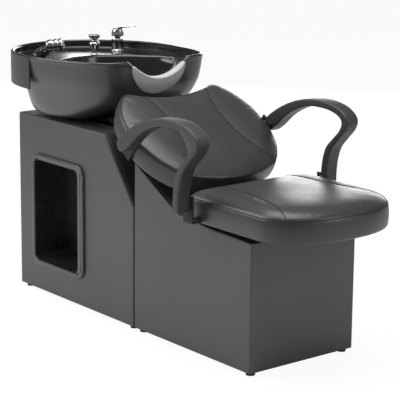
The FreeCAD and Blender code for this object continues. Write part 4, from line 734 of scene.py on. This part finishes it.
tub_levels = [0.0, 0.035, 0.12, 0.36, 0.55, 0.72, 1.10]
tub_back = [0.540, 0.645, 0.680, 0.695, 0.800, 0.935, 1.0]
tub_front = [0.375, 0.440, 0.575, 0.845, 0.935, 0.972, 1.0]
tub_width = [0.620, 0.745, 0.805, 0.870, 0.915, 0.957, 1.0]
level_count, rim_level = 111, -6
shares = np.linspace(0, tub_levels[-1], level_count)
tub = np.array([between(shares, tub_levels, sizes) for sizes in (tub_back, tub_front, tub_width)]).T
tub *= (bowl_half_length, bowl_half_length, bowl_half_width)
outer_reach = np.array([reach(*row) for row in tub])
inner_reach = np.array([reach(*(row - bowl_wall)) for row in tub])
outer_heights = floor_z + shares * bowl_rise
inner_heights = floor_z + bowl_wall + shares * (bowl_rise - bowl_wall)


def at_height(table, heights, z):
    """Each column's value at its own height, read between the table's levels."""
    place = np.clip((np.asarray(z) - heights[0]) / (heights[1] - heights[0]), 0, len(heights) - 1.001)
    low, columns = place.astype(int), np.arange(table.shape[1])
    return table[low, columns] * (1 - place + low) + table[low + 1, columns] * (place - low)


def soft_low(a, b, size):
    """The lower of two values, rounded over where they are close."""
    near = np.clip(0.5 + 0.5 * (b - a) / size, 0, 1)
    return b + (a - b) * near - size * near * (1 - near)


rim_x, rim_y = (outer_reach[rim_level] * toward.T) + [[drain_x], [0]]
dip = notch_z - np.sqrt(np.maximum(notch_radius ** 2 - rim_y ** 2, 0))
over_notch = (np.abs(rim_y) < notch_radius) & (rim_x > notch_from_x)
rim_z = soft_low(np.where(over_notch, dip, 1.0), rim_back_z + (rim_x - rim_back) * rim_climb, notch_blend)
bead_z = rim_z - bead


def outside(z):
    """The outer wall's reach, with a small swell under the rim's bead."""
    return at_height(outer_reach, outer_heights, z) + swell_out * np.exp(-((bead_z - z) / swell_run) ** 2)


def inside(z):
    """The inner wall's reach."""
    return at_height(inner_reach, inner_heights, z)


def in_basin(z):
    """The basin wall's reach behind the drain, below the deck."""
    return at_height(basin_reach, basin_heights, z)


bowl_section = []


def ring_at(radius, z):
    """Adds one ring of the bowl's section, from each bearing's reach and height."""
    flat = np.array([drain_x, 0]) + np.broadcast_to(radius, bearings.shape)[:, None] * toward
    bowl_section.append(np.column_stack([flat, np.broadcast_to(z, bearings.shape)]))


# The section starts under the drain, runs out below the floor, up the outer wall and over the bead.
for share in np.linspace(0.0, 1.0, 14)[:-1]:
    ring_at(drain_bore + (outer_reach[0] - drain_bore) * share, floor_z)
for share in np.linspace(0.0, 1.0, 60) ** 1.5:
    level = floor_z + share * (bead_z - floor_z)
    ring_at(outside(level), level)
outside_rings = len(bowl_section)
for angle in np.radians(np.linspace(0, 180, 13))[1:-1]:
    ring_at(outside(bead_z) - bead * (1 - math.cos(angle)), bead_z + bead * math.sin(angle))
edge_drop, deck_step, low_rim = 0.020, 0.001, 0.022
low_edge = rim_z - edge_drop
low_edge = np.where(rim_z < deck_z + low_rim, low_edge, np.maximum(low_edge, deck_z + deck_step))
for share in np.linspace(0.0, 1.0, 8):
    level = bead_z - share * (bead_z - low_edge)
    ring_at(outside(level) - 2 * bead - share ** 0.7 * (outside(level) - inside(level) - 2 * bead), level)

# Then it crosses the deck and rolls over its edge. The edge follows an arc behind the drain, and opens
# forward until the tub's own wall takes over.
edge_bearings = np.radians([0, 40, 70, 89, 106, 131, 153.5, 180])
edge_reaches = [0.370, 0.350, 0.285, 0.212, 0.172, 0.150, 0.139, 0.135]
basin_levels, basin_sizes = [0.0, 0.06, 0.22, 0.55, 1.0], [0.40, 0.52, 0.70, 0.87, 1.0]
basin_edge = between(np.abs(bearings), edge_bearings, edge_reaches)
basin_low = floor_z + bowl_wall
basin_share = np.linspace(0, 1, level_count)
basin_reach = between(basin_share, basin_levels, basin_sizes)[:, None] * basin_edge
basin_heights = basin_low + basin_share * (deck_z - basin_low)
lip_round, merge, ledge_run, deck_crown, front_drop, front_roll = 0.007, 0.030, 0.045, 0.0008, 0.010, 0.006
ledge = np.clip((inside(deck_z) - basin_edge) / ledge_run, 0, 1)
ledge = ledge * ledge * (3 - 2 * ledge)
front_low = np.minimum(low_edge - 0.0005, deck_z)
deck_end = np.minimum(basin_edge + lip_round, inside(deck_z))
for share in np.linspace(0.0, 1.0, 18):
    level = front_low - share * front_drop
    flat_reach = inside(deck_z) + (deck_end - inside(deck_z)) * share
    ring_at(ledge * flat_reach + (1 - ledge) * inside(level),
            ledge * (deck_z + deck_crown * share ** 6) + (1 - ledge) * level)
for angle in np.radians(np.linspace(0, 90, 9))[1:]:
    behind = deck_z + deck_crown - lip_round * (1 - math.cos(angle))
    ahead = front_low - front_drop - math.sin(angle) * front_roll
    rolled = np.minimum(in_basin(behind) + lip_round * (1 - math.sin(angle)), inside(behind))
    ring_at(ledge * rolled + (1 - ledge) * inside(ahead), ledge * behind + (1 - ledge) * ahead)

# Last it runs down the basin's wall and in over its floor to the drain's bore.
wall_top = ledge * (deck_z - lip_round) + (1 - ledge) * (front_low - front_drop - front_roll)
for share in np.linspace(0.0, 1.0, 50)[1:] ** 0.9:
    level = wall_top + share * (basin_low - wall_top)
    size = merge * min(share / 0.25, 1) + 0.0005
    ring_at(soft_low(inside(level), in_basin(level), size), level)
for share in np.linspace(1.0, 0.0, 12)[1:]:
    ring_at(drain_bore + (soft_low(inside(basin_low), basin_reach[0], merge) - drain_bore) * share, basin_low)
for share in np.linspace(0.0, 1.0, 4)[1:-1]:
    ring_at(drain_bore, basin_low - share * bowl_wall)
bowl = skin("wash_bowl", bowl_section, bowl_satin, loop=True)
bowl.data.materials.append(shaded_bowl_gloss)
polished_shaded_faces = np.zeros((len(bowl_section), len(bearings)), int)
polished_shaded_faces[outside_rings:] = 1
bowl.data.polygons.foreach_set("material_index", polished_shaded_faces.ravel())
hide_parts("bowl_shell", "bowl_deck")
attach(bowl, "bowl")

# Bowl apron: the part of the same moulding that hangs from the rim round the back, where it hides the tub.
# It is a 5 mm strip of plastic with a rounded lower edge.
apron_low, apron_wall, apron_from_x, apron_drop, hem_radius = 0.658, 0.005, -0.417, 0.004, 0.0025
apron_path = unit_oval * (bowl_half_length, bowl_half_width) + (bowl_x, 0)
apron_path = apron_path[apron_path[:, 0] < apron_from_x]
apron_in = (drain_x, 0) - apron_path
apron_in /= np.linalg.norm(apron_in, axis=1, keepdims=True)
apron_top = rim_back_z - apron_drop + (apron_path[:, 0] - rim_back) * rim_climb
turned = np.radians(np.linspace(180, 360, 11))
hem = np.column_stack([hem_radius + hem_radius * np.cos(turned), hem_radius + hem_radius * np.sin(turned),
                       np.zeros(len(turned))])
rise_share = np.linspace(0.04, 1, 10)
outer_face = np.column_stack([np.zeros(10), np.full(10, hem_radius), rise_share])
inner_face = outer_face + (apron_wall, 0, 0)
strip = np.vstack([outer_face[::-1], hem, inner_face])
strip_xy = apron_path[:, None] + apron_in[:, None] * strip[None, :, :1]
strip_z = apron_low + strip[:, 1] + (apron_top - apron_low - hem_radius)[:, None] * strip[:, 2]
apron = skin("bowl_apron", np.concatenate([strip_xy, strip_z[..., None]], axis=2)[::3], bowl_satin, sharp=50)
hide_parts("bowl_skirt")
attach(apron, "bowl")

# Neck rest: a soft gel crescent that hangs over the notch and down the bowl's front.
# It is cast in one piece, with fine ribs that fan round it, and lifts off for cleaning.
neck_gel = finish("neck_gel", (0.286, 0.286, 0.293), (0.442, 0.442, 0.448), (0.42, 0.55), marks=90, grain=700,
                  bump=0.35)
rest_half, crescent_radius, crescent_z, saddle_radius, saddle_high = 0.097, 0.1020, 0.7640, 0.1290, 0.752
rib_pitch, rib_high, crest_round = 0.0066, 0.0008, 0.007
gel_thick, gel_over, gel_under, gel_gap = 0.0155, 0.0145, 0.0026, 0.0006
saddle_share, saddle_rib, back_droop, droop_share = 0.55, 0.3, 0.0016, 0.25
front_bulge, front_taper, least_drop = 0.0012, 0.35, 0.004
hem_share, hem_out, hem_lift, hem_end_lift = 0.45, 0.0016, 0.0006, 0.0004
under_step, under_lift, back_low = 0.004, 0.0002, 0.0008
ahead = np.abs(bearings) < 1.2
front_heights = np.linspace(0.640, 0.760, 61)
front_reach = np.array([at_height(outer_reach, outer_heights, np.full(len(bearings), z))
                        for z in front_heights])[:, ahead]
rest_y = rest_half * np.sin(np.linspace(-math.pi / 2, math.pi / 2, 480))
front_x = np.array([np.interp(rest_y, row * toward[ahead, 1], drain_x + row * toward[ahead, 0])
                    for row in front_reach])


def wall_front(z):
    """The outer wall's X at each section of the neck rest, at that section's own height."""
    return at_height(front_x, front_heights, z)


low_z = crescent_z - np.sqrt(crescent_radius ** 2 - rest_y ** 2)
top_z = np.minimum(notch_z - np.sqrt(saddle_radius ** 2 - rest_y ** 2), saddle_high)
over_z = top_z - gel_under
fade = np.sqrt(np.maximum(1 - (np.abs(rest_y) / rest_half) ** 6, 0.02))
thick = gel_thick * fade
around_fan = crescent_radius * np.arcsin(rest_y / crescent_radius)
rib = rib_high * np.cos(2 * math.pi * around_fan / rib_pitch)
back_x = wall_front(over_z) - gel_over * fade
crest_x = wall_front(top_z) + thick
# The section runs over the saddle, round the crest, down the ribbed front, and back up along the bowl's wall.
gel_section = [(back_x + part * (wall_front(over_z) + thick * saddle_share - back_x),
                top_z - back_droop * (1 - min(part / droop_share, 1)) ** 2 + rib * saddle_rib)
               for part in np.linspace(0, 1, 10, endpoint=False)]
gel_section += [(crest_x - crest_round + crest_round * math.cos(angle) + rib,
                 top_z - crest_round + (crest_round + rib) * math.sin(angle))
                for angle in np.radians(np.linspace(70, 8, 7))]
for part in np.linspace(0.12, 0.9, 16):
    level = top_z - part * np.maximum(top_z - low_z, least_drop)
    bulge = front_bulge * math.sin(math.pi * part)
    gel_section.append((wall_front(level) + thick * (1 - front_taper * part ** 3) + bulge + rib, level))
gel_section += [(wall_front(low_z) + thick * hem_share, low_z + hem_lift),
                (wall_front(low_z) + hem_out, low_z + hem_end_lift)]
for part in np.linspace(0.04, 1.0, 16):
    level = low_z + (over_z - low_z) * part
    gel_section.append((wall_front(level) + gel_gap, level))
gel_section += [(wall_front(over_z) - under_step * fade, over_z + under_lift), (back_x, over_z - back_low)]
rest_rings = np.array([np.column_stack([x, rest_y, z]) for x, z in gel_section]).transpose(1, 0, 2)
rest = skin("neck_cushion", rest_rings, neck_gel)
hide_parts("neck_rest")
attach(rest, "neck_rest")

# Mixer: a turned and chromed brass barrel on a flange, clamped to the deck from below.
# Its sloped cap and flat handle are cast in one: they turn for heat and lift for flow.
chrome = finish("chrome", (0.32, 0.32, 0.33), (0.42, 0.42, 0.43), (0.04, 0.09), marks=30, metal=1.0)
dress(chrome, "drain_flange", "drain_strainer", "mixer_hub")
mixer_x, mixer_y, cap_z, cap_slope = -0.546, 0.165, 0.777, 0.005
barrel = [(0.0002, 0.0), (0.0235, 0.0), (0.0240, 0.0008), (0.0236, 0.0022), (0.0205, 0.0042),
          (0.0190, 0.0052), (0.0185, 0.0064), (0.0185, 0.0100), (0.0185, 0.0200), (0.0185, 0.0300),
          (0.0185, 0.0370), (0.0182, 0.0386), (0.0174, 0.0396), (0.0160, 0.0400), (0.0115, 0.0400),
          (0.0113, 0.0398)]
body = skin("mixer_barrel", lathe(barrel, (0, 0, 1), (mixer_x, mixer_y, deck_z), 120), chrome)
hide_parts("mixer_body", "mixer_flange")
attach(body, "bowl")
cap_profile = np.array([(0.0165, 0.0008), (0.0172, 0.0001), (0.0192, 0.0001), (0.0198, 0.0010),
                        (0.0198, 0.0050), (0.0194, 0.0100), (0.0186, 0.0150), (0.0172, 0.0195),
                        (0.0150, 0.0232), (0.0120, 0.0256), (0.0080, 0.0270), (0.0035, 0.0276)])
cap_forward = np.array([0, 0, 0, 0, 0, 0, 0.1, 0.3, 0.6, 0.85, 1.0, 1.0])
cap = lathe(cap_profile, (0, 0, 1), (mixer_x, mixer_y, cap_z), 120)
cap[..., 0] += cap_slope * cap_forward[:, None]
# The handle's blade narrows and thins along its length, rises as length ** 0.6, and has a rounded tip.
blade_from, blade_long, blade_stations = 0.002, 0.095, 44
along = np.linspace(0, 1, blade_stations)
tip = np.sqrt(np.maximum(1 - np.maximum((along - 0.88) / 0.12, 0) ** 2 * 0.9, 0.05))
blade_half = (0.0110 - 0.0028 * along) * tip
blade_thick = 0.0046 - 0.0030 * along ** 0.6
blade_rise = 0.0205 + 0.0195 * along ** 0.6
around_blade = np.linspace(0, 2 * math.pi, 32, endpoint=False)
blade_across, blade_up = bent(around_blade, 0.7)[0], bent(around_blade, 0.8)[1]
blade_x = np.repeat((mixer_x + blade_from + along * blade_long)[:, None], len(around_blade), axis=1)
blade = np.stack([blade_x, mixer_y + blade_half[:, None] * blade_across,
                  cap_z + blade_rise[:, None] + blade_thick[:, None] * blade_up], axis=2)
lever = skin("mixer_handle", cap, chrome, more=[blade])
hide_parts("mixer_lever")
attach(lever, "mixer_lever")

# Vacuum breaker: a chromed brass fitting that keeps used water out of the supply.
# It is turned with a ball, a waist and a flat round cap, and screwed to the deck.
ball_radius, ball_z, ball_half = 0.0172, 0.0335, 0.0125
around_ball = np.linspace(-0.93, 0.93, 16)[4:-1]
ball = list(zip(ball_radius * np.sqrt(1 - around_ball ** 2), ball_z + ball_half * around_ball))
breaker_foot = [(0.0002, 0.0), (0.0108, 0.0), (0.0112, 0.0008), (0.0108, 0.0022), (0.0090, 0.0034),
                (0.0078, 0.0050), (0.0082, 0.0110), (0.0120, 0.0170), (0.0132, 0.0195)]
breaker_cap = [(0.0076, 0.0460), (0.0078, 0.0485), (0.0112, 0.0505), (0.0152, 0.0530), (0.0168, 0.0550),
               (0.0176, 0.0565), (0.0178, 0.0585), (0.0178, 0.0620), (0.0174, 0.0638), (0.0160, 0.0650),
               (0.0120, 0.0656), (0.0062, 0.0658), (0.0058, 0.0668), (0.0052, 0.0676), (0.0020, 0.0678)]
breaker_x, breaker_y = -0.512, 0.050
breaker_rings = lathe(breaker_foot + ball + breaker_cap, (0, 0, 1), (breaker_x, breaker_y, deck_z), 120)
breaker = skin("anti_suction_valve", breaker_rings, chrome)
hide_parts("vacuum_breaker")
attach(breaker, "bowl")

# Hand sprayer: a chromed grip in a black slanted collar, and a drum-shaped head bent level at its end.
# The head's face is a black plate with two rings of soft nozzles. The collar is screwed to the deck.
slant = math.radians(66)
collar_high, grip_seat, head_along, head_behind, head_lift = 0.012, 0.0083, 0.0745, 0.004, 0.002
draw_way = np.array([math.sin(slant), 0, math.cos(slant)])
holder_at = np.array([-0.547, -0.134, deck_z])
collar_at = holder_at + (0, 0, collar_high)
grip_at = collar_at + draw_way * grip_seat
collar = [(0.0010, -0.0060), (0.0160, -0.0040), (0.0176, 0.0060), (0.0172, 0.0200), (0.0170, 0.0330),
          (0.0168, 0.0370), (0.0160, 0.0385), (0.0145, 0.0388), (0.0132, 0.0385), (0.0130, 0.0100),
          (0.0128, 0.0084), (0.0010, 0.0082)]
foot = [(0.0002, 0.0), (0.0216, 0.0), (0.0220, 0.0010), (0.0220, 0.0080), (0.0212, 0.0125), (0.0190, 0.0160),
        (0.0150, 0.0180), (0.0060, 0.0185)]
holder = skin("sprayer_cradle", lathe(foot, (0, 0, 1), holder_at), cap_plastic,
              more=[lathe(collar, draw_way, collar_at)], sharp=50)
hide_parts("sprayer_holder")
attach(holder, "bowl")
grip_profile = [(0.0004, 0.0), (0.0115, 0.0), (0.0124, 0.0010), (0.0125, 0.0100), (0.0125, 0.0300),
                (0.0126, 0.0440), (0.0130, 0.0560), (0.0136, 0.0680), (0.0134, 0.0760), (0.0118, 0.0830),
                (0.0080, 0.0880), (0.0030, 0.0895)]
grip = skin("sprayer_barrel", lathe(grip_profile, draw_way, grip_at), chrome)
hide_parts("sprayer_grip")
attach(grip, "sprayer")
face_way = np.array([0.70, 0.70, 0.12])
face_way /= np.linalg.norm(face_way)
head_at = grip_at + draw_way * head_along - face_way * head_behind + (0, 0, head_lift)
drum = [(0.0030, -0.0150), (0.0100, -0.0149), (0.0150, -0.0140), (0.0176, -0.0120), (0.0186, -0.0090),
        (0.0188, -0.0040), (0.0190, 0.0040), (0.0188, 0.0052), (0.0176, 0.0056), (0.0176, 0.0084),
        (0.0188, 0.0088), (0.0193, 0.0098), (0.0194, 0.0190), (0.0192, 0.0202), (0.0178, 0.0206),
        (0.0178, 0.0236), (0.0192, 0.0240), (0.0197, 0.0250), (0.0198, 0.0330), (0.0196, 0.0352),
        (0.0188, 0.0364), (0.0175, 0.0366), (0.0168, 0.0358), (0.0166, 0.0345), (0.0030, 0.0340)]
head = skin("sprayer_bell", lathe(drum, face_way, head_at), chrome, sharp=40)
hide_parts("sprayer_head")
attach(head, "sprayer")
across = np.cross(face_way, (0, 0, 1))
across /= np.linalg.norm(across)
upright = np.cross(across, face_way)
plate = [(0.0010, 0.0342), (0.0160, 0.0342), (0.0163, 0.0348), (0.0162, 0.0358), (0.0150, 0.0363),
         (0.0040, 0.0364)]
nozzle = [(0.0011, -0.0004), (0.0010, 0.0006), (0.0007, 0.0011), (0.0003, 0.0011)]
nozzle_rise, nozzle_rings = 0.0360, ((0.0118, 14), (0.0066, 8))
nozzles = []
for radius, holes in nozzle_rings:
    for angle in np.arange(holes) * 2 * math.pi / holes:
        from_middle = radius * (math.cos(angle) * across + math.sin(angle) * upright)
        nozzles.append(lathe(nozzle, face_way, head_at + face_way * nozzle_rise + from_middle, 14))
face_plate = skin("spray_plate", lathe(plate, face_way, head_at, 64), cap_plastic, more=nozzles)
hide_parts("spray_face")
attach(face_plate, "sprayer")
dress(cap_plastic, "drain_nut", "drain_tailpiece")
